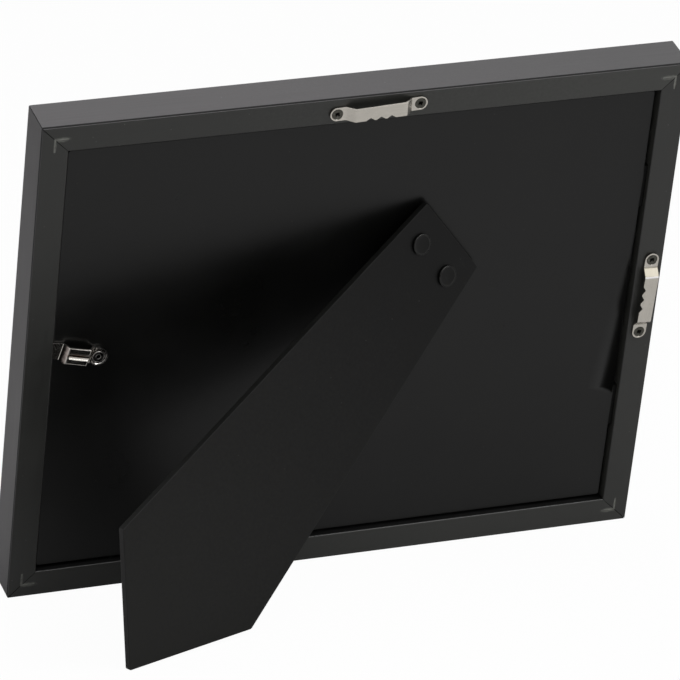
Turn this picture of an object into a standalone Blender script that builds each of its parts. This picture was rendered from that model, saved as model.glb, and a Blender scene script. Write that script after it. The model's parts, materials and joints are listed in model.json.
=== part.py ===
"""Desk photo frame with a folding easel strut on its diagonal, seen and measured from behind.

Every piece is placed in the rear view: x runs to the right, y runs up along the frame and z comes out of the
back towards the viewer, with zero at the lower left corner of the rails' rear face. Left and right in the
names are as seen from behind. The rear view leans back with the frame until the strut's toe is on the table.
"""

import math

import bpy
import bmesh
from mathutils import Matrix, Vector

# The picture, and the moulding that holds it
PICTURE_WIDTH = 0.254
PICTURE_HEIGHT = 0.203
RABBET_PLAY = 0.0014
RAIL_BACK_WIDTH = 0.0116
RAIL_DEPTH = 0.0196
FRONT_LIP = 0.0064
FRONT_EDGE_RADIUS = 0.0006
SIGHT_CHAMFER = 0.0012
MITRE_GAP = 0.0002

# The layers in the rabbet, from the front lip to the back
GLASS_THICKNESS = 0.002
INSERT_THICKNESS = 0.0003
BOARD_THICKNESS = 0.003
BOARD_RECESS = 0.0025
TAB_WIDTH = 0.020
TAB_REACH = 0.0022
TAB_SPACING = 0.110

# Clearances, and how far every cut runs past its wall
SEAT_GAP = 0.0003
OVERRUN = 0.002

# Nails across the mitres
NAIL_LEG = 0.0062
NAIL_THICKNESS = 0.0008
NAIL_DEPTH = 0.007
NAIL_SINK = 0.0002
NAIL_INSET = 0.0053

# The strut: its outline is measured down from its top edge
STRUT_TOP_WIDTH = 0.043
STRUT_FLARE = math.radians(6.83)
STRUT_THICKNESS = 0.003
STRUT_PORTRAIT_CORNER = 0.1904
STRUT_LANDSCAPE_CORNER = 0.178
STRUT_TOE_DROP = 0.2279
STRUT_TOE_OFFSET = 0.0039
STRUT_OPEN_ANGLE = math.radians(25)
STRUT_STOWED_GAP = 0.0008

# The hinge between strut and board: its place from the frame's middle, its rivets from the pin and its sides
HINGE_RIGHT_OF_MIDDLE = 0.0359
HINGE_ABOVE_MIDDLE = 0.0381
HINGE_SLOPE = math.radians(-52.6)
HINGE_WIDTH = 0.030
HINGE_MIDDLE_SHARE = 0.5
HINGE_PIN_RADIUS = 0.0005
HINGE_BARREL_CLEARANCE = 0.00035
LEAF_THICKNESS = 0.0008
LEAF_BELOW_BARREL = 0.0001
STRUT_RIVET_DROP = 0.0067
STRUT_RIVET_SIDE = 0.00425
STRUT_LEAF_END = 0.0048
STRUT_RIVET_HEAD_RADIUS = 0.0046
STRUT_RIVET_HEAD_HEIGHT = 0.0009
STRUT_RIVET_SHANK_RADIUS = 0.0015
BOARD_RIVET_CLEARANCE = 0.0025
BOARD_RIVET_SIDE = 0.006
BOARD_LEAF_END = 0.005
BOARD_RIVET_HEAD_RADIUS = 0.003
BOARD_RIVET_HEAD_HEIGHT = 0.0008
BOARD_RIVET_SHANK_RADIUS = 0.0012
RIVET_EDGE_SHARE = 0.3

# The turn catch, measured along it from its eyelet, and how far its tongue goes into the rail
CATCH_BITE = 0.0027
CATCH_ABOVE_MIDDLE = 0.0019
CATCH_REST_ANGLE = math.radians(166)
CATCH_THICKNESS = 0.0008
CATCH_END_RADIUS = 0.0041
CATCH_RIM_WIDTH = 0.0006
CATCH_RIM_HEIGHT = 0.0009
CATCH_RIM_END = 0.0015
CATCH_WIDTH = 0.0076
CATCH_RISER_RUN = 0.0021
CATCH_BLOCK_LENGTH = 0.0095
CATCH_RAISE = 0.0029
CATCH_SLOPE_RUN = 0.0020
CATCH_TONGUE_LENGTH = 0.0069
CATCH_TIP_WIDTH = 0.0064
CATCH_TROUGH_RADIUS = 0.0021
CATCH_TROUGH_DEPTH = 0.0007
CATCH_TROUGH_END = 0.0009
EYELET_HEAD_RADIUS = 0.0026
EYELET_HEAD_HEIGHT = 0.0006
EYELET_SHANK_RADIUS = 0.0015
EYELET_BORE_RADIUS = 0.0009

# The two sawtooth hangers: how far each is from the middle of its rail's length, and one shape for both
HANGER_TOP_RIGHT = 0.0029
HANGER_TOP_TURN = math.radians(2.2)
HANGER_SIDE_UP = 0.0018
HANGER_SIDE_TURN = math.radians(-92.1)
HANGER_TAB = 0.00395
HANGER_WIDTH = 0.0062
HANGER_THICKNESS = 0.0008
HANGER_BAR_LENGTH = 0.0216
HANGER_BAR_RAISE = 0.003
HANGER_RAMP_RUN = 0.0032
NOTCH_COUNT = 3
NOTCH_PITCH = 0.00455
NOTCH_WIDTH_SHARE = 0.84
NOTCH_DEPTH = 0.0012

# Screws in the hangers
SCREW_HEAD_RADIUS = 0.0024
SCREW_SHANK_RADIUS = 0.0011
SCREW_LENGTH = 0.009
SCREW_POINT = 0.002
RECESS_SPAN = 0.0030
RECESS_SLOT = 0.0007
RECESS_DEPTH = 0.0009

ROUND_SIDES = 32
SMALL_SIDES = 20
CORNER_STEPS = 3
MERGE_DISTANCE = 1e-6

# Sizes that follow from the ones above
FRAME_WIDTH = PICTURE_WIDTH + 2 * (RABBET_PLAY + RAIL_BACK_WIDTH)
FRAME_HEIGHT = PICTURE_HEIGHT + 2 * (RABBET_PLAY + RAIL_BACK_WIDTH)
RABBET_DEPTH = BOARD_RECESS + BOARD_THICKNESS + INSERT_THICKNESS + GLASS_THICKNESS + 3 * SEAT_GAP
BOARD_BACK = -BOARD_RECESS
BOARD_FRONT = BOARD_BACK - BOARD_THICKNESS
INSERT_BACK = BOARD_FRONT - SEAT_GAP
INSERT_FRONT = INSERT_BACK - INSERT_THICKNESS
GLASS_BACK = INSERT_FRONT - SEAT_GAP
GLASS_FRONT = GLASS_BACK - GLASS_THICKNESS
PANEL_INSET = RAIL_BACK_WIDTH + RABBET_PLAY
PIN_HEIGHT = (BOARD_RECESS + STRUT_STOWED_GAP) / 2
BARREL_RADIUS = PIN_HEIGHT - HINGE_BARREL_CLEARANCE
LEAF_FAR = BARREL_RADIUS - LEAF_BELOW_BARREL
LEAF_NEAR = LEAF_FAR - LEAF_THICKNESS
STRUT_INNER = PIN_HEIGHT
STRUT_OUTER = STRUT_INNER + STRUT_THICKNESS
STRUT_LEAF_LENGTH = STRUT_RIVET_DROP + STRUT_LEAF_END
BOARD_RIVET_DROP = STRUT_LEAF_LENGTH + BOARD_RIVET_CLEARANCE + BOARD_RIVET_HEAD_RADIUS
BOARD_LEAF_LENGTH = BOARD_RIVET_DROP + BOARD_LEAF_END
CATCH_BOTTOM = SEAT_GAP
CATCH_TOP = CATCH_BOTTOM + CATCH_THICKNESS
CATCH_RISER_START = EYELET_HEAD_RADIUS + SEAT_GAP
CATCH_BLOCK_START = CATCH_RISER_START + CATCH_RISER_RUN
CATCH_BLOCK_END = CATCH_BLOCK_START + CATCH_BLOCK_LENGTH
CATCH_TONGUE_START = CATCH_BLOCK_END + CATCH_SLOPE_RUN
CATCH_REACH = CATCH_TONGUE_START + CATCH_TONGUE_LENGTH
CATCH_ACROSS = RAIL_BACK_WIDTH - CATCH_REACH * math.cos(CATCH_REST_ANGLE) - CATCH_BITE
CATCH_UP = FRAME_HEIGHT / 2 + CATCH_ABOVE_MIDDLE
HANGER_BOTTOM = SEAT_GAP
HANGER_TOP = HANGER_BOTTOM + HANGER_THICKNESS
HANGER_FOOT = HANGER_BAR_LENGTH / 2 + HANGER_RAMP_RUN
HANGER_HOLE = HANGER_FOOT + HANGER_TAB


def strut_overhang():
    """Length of strut above the pin, whose inner edge stops on the board at the open angle."""
    drop = PIN_HEIGHT - SEAT_GAP + STRUT_INNER * math.cos(STRUT_OPEN_ANGLE)
    return drop / math.sin(STRUT_OPEN_ANGLE)


def strut_outline():
    """Outline of the strut about the pin: x along the pin, y up the strut."""
    top = strut_overhang()
    half = STRUT_TOP_WIDTH / 2
    portrait_half = half + STRUT_PORTRAIT_CORNER * math.tan(STRUT_FLARE)
    landscape_half = half + STRUT_LANDSCAPE_CORNER * math.tan(STRUT_FLARE)
    return [
        (half, top),
        (-half, top),
        (-portrait_half, top - STRUT_PORTRAIT_CORNER),
        (STRUT_TOE_OFFSET, top - STRUT_TOE_DROP),
        (landscape_half, top - STRUT_LANDSCAPE_CORNER),
    ]


def hinge_matrix():
    """Place of the pin in the rear view: x along it, z out of the board."""
    across = FRAME_WIDTH / 2 + HINGE_RIGHT_OF_MIDDLE
    up = FRAME_HEIGHT / 2 + HINGE_ABOVE_MIDDLE
    place = Matrix.Translation((across, up, BOARD_BACK + PIN_HEIGHT))
    return place @ Matrix.Rotation(HINGE_SLOPE, 4, "Z")


def strut_corners():
    """Corners of the opened strut in the rear view, on both its faces."""
    opened = hinge_matrix() @ Matrix.Rotation(-STRUT_OPEN_ANGLE, 4, "X")
    return [opened @ Vector((x, y, z)) for x, y in strut_outline() for z in (STRUT_INNER, STRUT_OUTER)]


def lean_angle():
    """Angle at which the rear bottom edge and the strut's lowest corner are both on the table."""
    return min(math.atan2(corner.y, corner.z) for corner in strut_corners())


def rail_profile():
    """Section of the moulding: distance in from the outer side, and height from the rear face."""
    back = RAIL_BACK_WIDTH
    sight = RAIL_BACK_WIDTH + FRONT_LIP
    outline = [(0, 0), (back, 0), (back, -RABBET_DEPTH), (sight, -RABBET_DEPTH)]
    outline += [(sight, SIGHT_CHAMFER - RAIL_DEPTH), (sight - SIGHT_CHAMFER, -RAIL_DEPTH)]
    for step in range(CORNER_STEPS + 1):
        angle = math.pi / 2 * step / CORNER_STEPS
        inward = FRONT_EDGE_RADIUS * (1 - math.sin(angle))
        outline.append((inward, FRONT_EDGE_RADIUS * (1 - math.cos(angle)) - RAIL_DEPTH))
    return outline


def table_shift():
    """Distance that brings the middle of the object's footprint over the origin."""
    lean = lean_angle()
    front = min(s * math.sin(lean) + w * math.cos(lean) for s, w in rail_profile())
    back = max(corner.y * math.sin(lean) + corner.z * math.cos(lean) for corner in strut_corners())
    return -(front + back) / 2


def empty(name, parent=None, location=(0, 0, 0), rotation=(0, 0, 0)):
    """Add an empty that carries pieces."""
    carrier = bpy.data.objects.new(name, None)
    bpy.context.scene.collection.objects.link(carrier)
    carrier.parent = parent
    carrier.location = location
    carrier.rotation_euler = rotation
    return carrier


def finish(name, colour, roughness, metallic=0.0, transmission=0.0):
    """Make one plain material."""
    material = bpy.data.materials.new(name)
    material.use_nodes = True
    shader = material.node_tree.nodes["Principled BSDF"]
    shader.inputs["Base Color"].default_value = (*colour, 1.0)
    shader.inputs["Roughness"].default_value = roughness
    shader.inputs["Metallic"].default_value = metallic
    shader.inputs["Transmission Weight"].default_value = transmission
    return material


def add_object(name, shape, parent, material, rounded=False):
    """Turn a bmesh into an object under its carrier."""
    bmesh.ops.recalc_face_normals(shape, faces=shape.faces)
    mesh = bpy.data.meshes.new(name)
    shape.to_mesh(mesh)
    shape.free()
    if rounded:
        mesh.shade_smooth()
        mesh.set_sharp_from_angle(angle=math.radians(35))
    piece = bpy.data.objects.new(name, mesh)
    bpy.context.scene.collection.objects.link(piece)
    piece.parent = parent
    if material:
        mesh.materials.append(material)
    return piece


def prism(name, outline, low, high, parent, material=None):
    """Extrude an outline in x and y between two heights."""
    shape = bmesh.new()
    base = shape.faces.new([shape.verts.new((x, y, low)) for x, y in outline])
    grown = bmesh.ops.extrude_face_region(shape, geom=[base])
    raised = [item for item in grown["geom"] if isinstance(item, bmesh.types.BMVert)]
    bmesh.ops.translate(shape, verts=raised, vec=(0, 0, high - low))
    return add_object(name, shape, parent, material)


def side_prism(name, outline, half_width, parent, material=None):
    """Extrude an outline in x and z to both sides along y."""
    shape = bmesh.new()
    base = shape.faces.new([shape.verts.new((x, -half_width, z)) for x, z in outline])
    grown = bmesh.ops.extrude_face_region(shape, geom=[base])
    moved = [item for item in grown["geom"] if isinstance(item, bmesh.types.BMVert)]
    bmesh.ops.translate(shape, verts=moved, vec=(0, 2 * half_width, 0))
    return add_object(name, shape, parent, material)


def rectangle(x_low, x_high, y_low, y_high):
    """Corners of a rectangle."""
    return [(x_low, y_low), (x_high, y_low), (x_high, y_high), (x_low, y_high)]


def arc(centre, radius, start, end, steps):
    """Points along an arc, both ends included."""
    angles = [start + (end - start) * step / steps for step in range(steps + 1)]
    return [(centre[0] + radius * math.cos(angle), centre[1] + radius * math.sin(angle)) for angle in angles]


def turned(name, profile, parent, material=None, sides=ROUND_SIDES, closed=False):
    """Turn a profile of radii and heights about z; a closed one is a ring."""
    shape = bmesh.new()
    verts = [shape.verts.new((radius, 0, height)) for radius, height in profile]
    pairs = list(zip(verts, verts[1:]))
    if closed:
        pairs.append((verts[-1], verts[0]))
    edges = [shape.edges.new(pair) for pair in pairs]
    bmesh.ops.spin(shape, geom=verts + edges, cent=(0, 0, 0), axis=(0, 0, 1), angle=math.tau, steps=sides)
    bmesh.ops.remove_doubles(shape, verts=shape.verts, dist=MERGE_DISTANCE)
    return add_object(name, shape, parent, material, rounded=True)


def rod(name, radius, low, high, parent, material=None, sides=SMALL_SIDES):
    """Turn a plain rod about z."""
    return turned(name, [(0, low), (radius, low), (radius, high), (0, high)], parent, material, sides)


def combine(piece, tool, operation):
    """Join or cut a piece with another shape, which is then only a guide."""
    tool.hide_render = True
    tool.display_type = "WIRE"
    modifier = piece.modifiers.new(tool.name, "BOOLEAN")
    modifier.operation = operation
    modifier.object = tool


def nail_outline(grow):
    """L of a nail whose legs follow the two rails, measured in from the frame's corner."""
    low = NAIL_INSET - grow
    inner = NAIL_INSET + NAIL_THICKNESS + grow
    far = NAIL_INSET + NAIL_LEG + grow
    return [(low, low), (far, low), (far, inner), (inner, inner), (inner, far), (low, far)]


def build_nails(rear_view, steel):
    """Add the four nails, and return the kerf that each one sits in."""
    corners = {
        "bottom_left": (0, 0, 0),
        "bottom_right": (FRAME_WIDTH, 0, math.pi / 2),
        "top_right": (FRAME_WIDTH, FRAME_HEIGHT, math.pi),
        "top_left": (0, FRAME_HEIGHT, -math.pi / 2),
    }
    kerfs = {}
    bottom = -NAIL_SINK - NAIL_DEPTH
    for place, (across, up, turn) in corners.items():
        corner = empty("corner_" + place, rear_view, (across, up, 0), (0, 0, turn))
        prism("v_nail_" + place, nail_outline(0), bottom, -NAIL_SINK, corner, steel)
        kerfs[place] = prism("kerf_" + place, nail_outline(SEAT_GAP), bottom - SEAT_GAP, OVERRUN, corner)
    return kerfs


def rail(name, length, carrier, material):
    """One length of the moulding with mitred ends, its outer side along x."""
    shape = bmesh.new()
    pull_back = MITRE_GAP / math.sqrt(2)
    loops = []
    for side in (-1, 1):
        ends = [(side * (length / 2 - s - pull_back), s, w) for s, w in rail_profile()]
        loops.append([shape.verts.new(end) for end in ends])
    count = len(loops[0])
    for i in range(count):
        j = (i + 1) % count
        shape.faces.new((loops[0][i], loops[0][j], loops[1][j], loops[1][i]))
    shape.faces.new(loops[0])
    shape.faces.new(loops[1])
    return add_object(name, shape, carrier, material)


def build_rails(rear_view, material, kerfs):
    """Add the four rails, each with the kerfs of the nails at its ends."""
    middle_x = FRAME_WIDTH / 2
    middle_y = FRAME_HEIGHT / 2
    sides = {
        "rail_bottom": (FRAME_WIDTH, (middle_x, 0, 0), 0, ("bottom_left", "bottom_right")),
        "rail_right": (FRAME_HEIGHT, (FRAME_WIDTH, middle_y, 0), math.pi / 2, ("bottom_right", "top_right")),
        "rail_top": (FRAME_WIDTH, (middle_x, FRAME_HEIGHT, 0), math.pi, ("top_right", "top_left")),
        "rail_left": (FRAME_HEIGHT, (0, middle_y, 0), -math.pi / 2, ("top_left", "bottom_left")),
    }
    rails = {}
    for name, (length, location, turn, ends) in sides.items():
        carrier = empty(name + "_side", rear_view, location, (0, 0, turn))
        rails[name] = rail(name, length, carrier, material)
        for end in ends:
            combine(rails[name], kerfs[end], "DIFFERENCE")
    return rails


def board_outline():
    """Outline of the backing board, with its two tabs on the right."""
    left = PANEL_INSET
    right = FRAME_WIDTH - PANEL_INSET
    bottom = PANEL_INSET
    top = FRAME_HEIGHT - PANEL_INSET
    reach = FRAME_WIDTH - RAIL_BACK_WIDTH + TAB_REACH
    outline = [(left, top), (left, bottom), (right, bottom)]
    for side in (-1, 1):
        middle = FRAME_HEIGHT / 2 + side * TAB_SPACING / 2
        low = middle - TAB_WIDTH / 2
        high = middle + TAB_WIDTH / 2
        outline += [(right, low), (reach, low), (reach, high), (right, high)]
    return outline + [(right, top)]


def build_panels(rear_view, glass, paper, board):
    """Add the glass, the insert and the backing board, and return the board."""
    pane = rectangle(PANEL_INSET, FRAME_WIDTH - PANEL_INSET, PANEL_INSET, FRAME_HEIGHT - PANEL_INSET)
    prism("glass_pane", pane, GLASS_FRONT, GLASS_BACK, rear_view, glass)
    prism("picture_insert", pane, INSERT_FRONT, INSERT_BACK, rear_view, paper)
    return prism("backing_board", board_outline(), BOARD_FRONT, BOARD_BACK, rear_view, board)


def cut_tab_slots(rail_right, rear_view):
    """Slots in the right rail for the board's tabs."""
    wall = FRAME_WIDTH - RAIL_BACK_WIDTH
    for name, side in (("lower", -1), ("upper", 1)):
        middle = FRAME_HEIGHT / 2 + side * TAB_SPACING / 2
        half = TAB_WIDTH / 2 + SEAT_GAP
        outline = rectangle(wall - OVERRUN, wall + TAB_REACH + SEAT_GAP, middle - half, middle + half)
        slot = prism("tab_slot_" + name, outline, BOARD_FRONT - SEAT_GAP, BOARD_BACK + SEAT_GAP, rear_view)
        combine(rail_right, slot, "DIFFERENCE")


def leaf_outline(length, joined, open_spans):
    """Outline of a hinge plate: it reaches the pin at its own barrels and clears the others."""
    half = HINGE_WIDTH / 2
    clear = -(BARREL_RADIUS + HINGE_BARREL_CLEARANCE)
    outline = [(-half, -length), (half, -length)]
    steps = [(span, 0) for span in joined] + [(span, clear) for span in open_spans]
    for (low, high), level in sorted(steps, reverse=True):
        outline += [(high, level), (low, level)]
    return outline


def hinge_leaf(name, length, barrels, open_spans, side, parent, material):
    """A hinge plate with its barrels about the pin; side is 1 away from the board and -1 towards it."""
    heights = sorted((side * LEAF_NEAR, side * LEAF_FAR))
    leaf = prism(name, leaf_outline(length, barrels, open_spans), *heights, parent, material)
    turn = (0, math.pi / 2, 0)
    for number, (low, high) in enumerate(barrels):
        barrel = rod(f"{name}_barrel_{number}", BARREL_RADIUS, low, high, parent)
        barrel.rotation_euler = turn
        combine(leaf, barrel, "UNION")
    bore = rod(name + "_bore", HINGE_PIN_RADIUS + SEAT_GAP, -HINGE_WIDTH, HINGE_WIDTH, parent)
    bore.rotation_euler = turn
    combine(leaf, bore, "DIFFERENCE")
    return leaf


def rivet(name, head_radius, head_height, shank_radius, head_level, shank_end, place, parent, material):
    """A flat-headed rivet: its head above a level, its shank down to its end."""
    edge = head_height * RIVET_EDGE_SHARE
    top = head_level + head_height
    profile = [(0, shank_end), (shank_radius, shank_end), (shank_radius, head_level), (head_radius, head_level)]
    profile += [(head_radius, top - edge), (head_radius - edge, top), (0, top)]
    piece = turned(name, profile, parent, material)
    piece.location = place
    return piece


def rivet_hole(name, shank_radius, low, high, place, parent, pieces):
    """Drill the same hole through each piece that a rivet joins."""
    drill = rod(name, shank_radius + SEAT_GAP, low - OVERRUN, high + OVERRUN, parent)
    drill.location = place
    for piece in pieces:
        combine(piece, drill, "DIFFERENCE")


def build_strut(rear_view, board, black, steel):
    """Add the hinge and the opened strut with their rivets."""
    place = hinge_matrix()
    line = empty("hinge_line", rear_view, place.to_translation(), place.to_euler())
    swing = empty("strut_swing", line, rotation=(-STRUT_OPEN_ANGLE, 0, 0))

    half = HINGE_WIDTH / 2
    middle = half * HINGE_MIDDLE_SHARE
    inner = [(-middle + SEAT_GAP, middle - SEAT_GAP)]
    outer = [(-half, -middle), (middle, half)]
    clear_of_inner = [(-middle, middle)]
    clear_of_outer = [(-half, -middle + SEAT_GAP), (middle - SEAT_GAP, half)]
    pin = rod("hinge_pin", HINGE_PIN_RADIUS, -half, half, line, steel)
    pin.rotation_euler = (0, math.pi / 2, 0)
    board_leaf = hinge_leaf("hinge_leaf_board", BOARD_LEAF_LENGTH, outer, clear_of_inner, -1, line, steel)
    strut_leaf = hinge_leaf("hinge_leaf_strut", STRUT_LEAF_LENGTH, inner, clear_of_outer, 1, swing, steel)
    strut = prism("easel_strut", strut_outline(), STRUT_INNER, STRUT_OUTER, swing, black)

    for side, name in ((-1, "left"), (1, "right")):
        spot = (side * (half - STRUT_RIVET_SIDE), -STRUT_RIVET_DROP, 0)
        rivet_hole("strut_drill_" + name, STRUT_RIVET_SHANK_RADIUS, LEAF_NEAR, STRUT_OUTER, spot, swing,
                   (strut, strut_leaf))
        rivet("strut_rivet_" + name, STRUT_RIVET_HEAD_RADIUS, STRUT_RIVET_HEAD_HEIGHT,
              STRUT_RIVET_SHANK_RADIUS, STRUT_OUTER + SEAT_GAP, LEAF_NEAR, spot, swing, black)
        spot = (side * (half - BOARD_RIVET_SIDE), -BOARD_RIVET_DROP, 0)
        front = BOARD_FRONT - BOARD_BACK - PIN_HEIGHT
        rivet_hole("board_drill_" + name, BOARD_RIVET_SHANK_RADIUS, front, -LEAF_NEAR, spot, line,
                   (board, board_leaf))
        rivet("board_rivet_" + name, BOARD_RIVET_HEAD_RADIUS, BOARD_RIVET_HEAD_HEIGHT,
              BOARD_RIVET_SHANK_RADIUS, -LEAF_NEAR + SEAT_GAP, front, spot, line, steel)


def catch_side():
    """Side of the turn catch, equally thick all along: distance from its eyelet, and height over the board."""
    riser = CATCH_THICKNESS * math.tan(math.atan2(CATCH_RAISE, CATCH_RISER_RUN) / 2)
    slope = CATCH_THICKNESS * math.tan(math.atan2(CATCH_RAISE, CATCH_SLOPE_RUN) / 2)
    steps = [(-CATCH_END_RADIUS - OVERRUN, 0, 0), (CATCH_RISER_START, 0, riser),
             (CATCH_BLOCK_START, CATCH_RAISE, riser), (CATCH_BLOCK_END, CATCH_RAISE, -slope),
             (CATCH_TONGUE_START, 0, -slope), (CATCH_REACH, 0, 0)]
    under = [(x + shift, z + CATCH_BOTTOM) for x, z, shift in steps]
    over = [(x, z + CATCH_TOP) for x, z, shift in steps]
    return under + over[::-1]


def catch_plan():
    """Plan of the turn catch: a round end, straight sides and a tongue that narrows to its tip."""
    half = CATCH_WIDTH / 2
    shoulder = math.asin(min(1, half / CATCH_END_RADIUS))
    end = arc((0, 0), CATCH_END_RADIUS, shoulder, math.tau - shoulder, ROUND_SIDES // 2)
    tip = CATCH_TIP_WIDTH / 2
    return end + [(CATCH_TONGUE_START, -half), (CATCH_REACH, -tip), (CATCH_REACH, tip), (CATCH_TONGUE_START, half)]


def catch_rim(pivot):
    """Raised rim round the catch's end, open towards the block."""
    inner = EYELET_HEAD_RADIUS + SEAT_GAP
    outer = CATCH_END_RADIUS + OVERRUN
    middle = CATCH_TOP - CATCH_THICKNESS / 2
    high = CATCH_TOP + CATCH_RIM_HEIGHT
    profile = [(inner, middle), (outer, middle), (outer, high), (CATCH_END_RADIUS - CATCH_RIM_WIDTH, high),
               (inner, CATCH_TOP)]
    rim = turned("catch_rim", profile, pivot, closed=True)
    opening = rectangle(CATCH_RIM_END, outer + OVERRUN, -outer, outer)
    combine(rim, prism("catch_rim_opening", opening, CATCH_BOTTOM, high + OVERRUN, pivot), "DIFFERENCE")
    return rim


def catch_trough(pivot):
    """The trough pressed into the catch's block: what it adds below, and the rod that hollows it."""
    along = Matrix(((0, 0, 1, 0), (1, 0, 0, 0), (0, 1, 0, 0), (0, 0, 0, 1)))
    top = CATCH_TOP + CATCH_RAISE
    centre = top - CATCH_TROUGH_DEPTH + CATCH_TROUGH_RADIUS
    outer = CATCH_TROUGH_RADIUS + CATCH_THICKNESS
    reach = math.acos((centre - top + CATCH_THICKNESS / 2) / outer)
    bow = arc((0, centre), outer, -math.pi / 2 - reach, -math.pi / 2 + reach, CORNER_STEPS * 3)
    swell = prism("catch_swell", bow, CATCH_BLOCK_START, CATCH_BLOCK_END, pivot)
    swell.matrix_local = along
    start = CATCH_BLOCK_START - CATCH_THICKNESS
    hollow = rod("catch_hollow", CATCH_TROUGH_RADIUS, start, CATCH_BLOCK_END - CATCH_TROUGH_END, pivot,
                 sides=ROUND_SIDES)
    hollow.matrix_local = Matrix.Translation((0, 0, centre)) @ along
    return swell, hollow


def build_catch(rear_view, board, rail_left, steel):
    """Add the turn catch on its eyelet, and the slot in the left rail that its tongue turns through."""
    pivot = empty("catch_pivot", rear_view, (CATCH_ACROSS, CATCH_UP, BOARD_BACK), (0, 0, CATCH_REST_ANGLE))
    catch = side_prism("turn_catch", catch_side(), CATCH_WIDTH, pivot, steel)
    swell, hollow = catch_trough(pivot)
    combine(catch, catch_rim(pivot), "UNION")
    combine(catch, swell, "UNION")
    highest = CATCH_TOP + CATCH_RAISE + OVERRUN
    combine(catch, prism("catch_plan", catch_plan(), CATCH_BOTTOM - OVERRUN, highest, pivot), "INTERSECT")
    combine(catch, hollow, "DIFFERENCE")

    front = BOARD_FRONT - BOARD_BACK
    rivet_hole("eyelet_drill", EYELET_SHANK_RADIUS, front, CATCH_TOP, (0, 0, 0), pivot, (board, catch))
    base = CATCH_TOP + SEAT_GAP
    top = base + EYELET_HEAD_HEIGHT
    edge = EYELET_HEAD_HEIGHT * RIVET_EDGE_SHARE
    profile = [(EYELET_BORE_RADIUS, front), (EYELET_SHANK_RADIUS, front), (EYELET_SHANK_RADIUS, base),
               (EYELET_HEAD_RADIUS, base), (EYELET_HEAD_RADIUS, top - edge), (EYELET_HEAD_RADIUS - edge, top),
               (EYELET_BORE_RADIUS + edge, top), (EYELET_BORE_RADIUS, top - edge)]
    turned("catch_rivet", profile, pivot, steel, closed=True)

    wall = CATCH_ACROSS - RAIL_BACK_WIDTH
    sweep = math.hypot(CATCH_REACH, CATCH_TIP_WIDTH / 2)
    half = math.sqrt(max(sweep ** 2 - wall ** 2, 0)) + SEAT_GAP
    outline = rectangle(CATCH_ACROSS - sweep - SEAT_GAP, RAIL_BACK_WIDTH + OVERRUN,
                        CATCH_UP - half, CATCH_UP + half)
    slot = prism("catch_slot", outline, BOARD_BACK + CATCH_BOTTOM - SEAT_GAP,
                 BOARD_BACK + CATCH_TOP + SEAT_GAP, rear_view)
    combine(rail_left, slot, "DIFFERENCE")


def hanger_side():
    """Side of a hanger: flat ends on the rail, a ramp at each and the raised bar between."""
    end = HANGER_HOLE + HANGER_WIDTH
    bar = HANGER_BAR_LENGTH / 2
    steps = [(-end, 0), (-HANGER_FOOT, 0), (-bar, HANGER_BAR_RAISE), (bar, HANGER_BAR_RAISE),
             (HANGER_FOOT, 0), (end, 0)]
    under = [(x, z + HANGER_BOTTOM) for x, z in steps]
    over = [(x, z + HANGER_TOP) for x, z in steps]
    return under + over[::-1]


def hanger_plan():
    """Plan of a hanger: round ends, one straight edge and one with the row of notches."""
    radius = HANGER_WIDTH / 2
    notch = NOTCH_PITCH * NOTCH_WIDTH_SHARE / 2
    outline = arc((HANGER_HOLE, 0), radius, -math.pi / 2, math.pi / 2, ROUND_SIDES // 2)
    outline += arc((-HANGER_HOLE, 0), radius, math.pi / 2, 3 * math.pi / 2, ROUND_SIDES // 2)
    for number in range(NOTCH_COUNT):
        middle = (number - (NOTCH_COUNT - 1) / 2) * NOTCH_PITCH
        outline += [(middle - notch, -radius), (middle, NOTCH_DEPTH - radius), (middle + notch, -radius)]
    return outline


def screw(name, place, parent, material):
    """A countersunk cross-recess screw whose head is flush with the hanger."""
    tip = -SCREW_LENGTH
    profile = [(0, tip), (SCREW_SHANK_RADIUS, tip + SCREW_POINT), (SCREW_SHANK_RADIUS, 0),
               (SCREW_HEAD_RADIUS, HANGER_TOP), (0, HANGER_TOP)]
    piece = turned(name, profile, parent, material, SMALL_SIDES)
    piece.location = place
    slot = rectangle(-RECESS_SPAN / 2, RECESS_SPAN / 2, -RECESS_SLOT / 2, RECESS_SLOT / 2)
    for number in range(2):
        recess = prism(f"{name}_recess_{number}", slot, HANGER_TOP - RECESS_DEPTH, HANGER_TOP + OVERRUN, parent)
        recess.location = place
        recess.rotation_euler = (0, 0, number * math.pi / 2)
        combine(piece, recess, "DIFFERENCE")
    return piece


def screw_space(name, place, parent):
    """The countersink and hole that a screw stands in."""
    shank = SCREW_SHANK_RADIUS + SEAT_GAP
    head = SCREW_HEAD_RADIUS + SEAT_GAP
    bottom = -SCREW_LENGTH - SEAT_GAP
    profile = [(0, bottom), (shank, bottom), (shank, 0), (head, HANGER_TOP), (head, HANGER_TOP + OVERRUN),
               (0, HANGER_TOP + OVERRUN)]
    space = turned(name, profile, parent, sides=SMALL_SIDES)
    space.location = place
    return space


def build_hanger(name, location, turn, screw_names, carrying_rail, rear_view, steel, black):
    """Add one sawtooth hanger and its two screws."""
    carrier = empty(name + "_place", rear_view, location, (0, 0, turn))
    hanger = side_prism(name, hanger_side(), HANGER_WIDTH, carrier, steel)
    highest = HANGER_TOP + HANGER_BAR_RAISE + OVERRUN
    plan = prism(name + "_plan", hanger_plan(), HANGER_BOTTOM - OVERRUN, highest, carrier)
    combine(hanger, plan, "INTERSECT")
    for side, screw_name in zip((-1, 1), screw_names):
        place = (side * HANGER_HOLE, 0, 0)
        space = screw_space(screw_name + "_space", place, carrier)
        combine(hanger, space, "DIFFERENCE")
        combine(carrying_rail, space, "DIFFERENCE")
        screw(screw_name, place, carrier, black)


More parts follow.
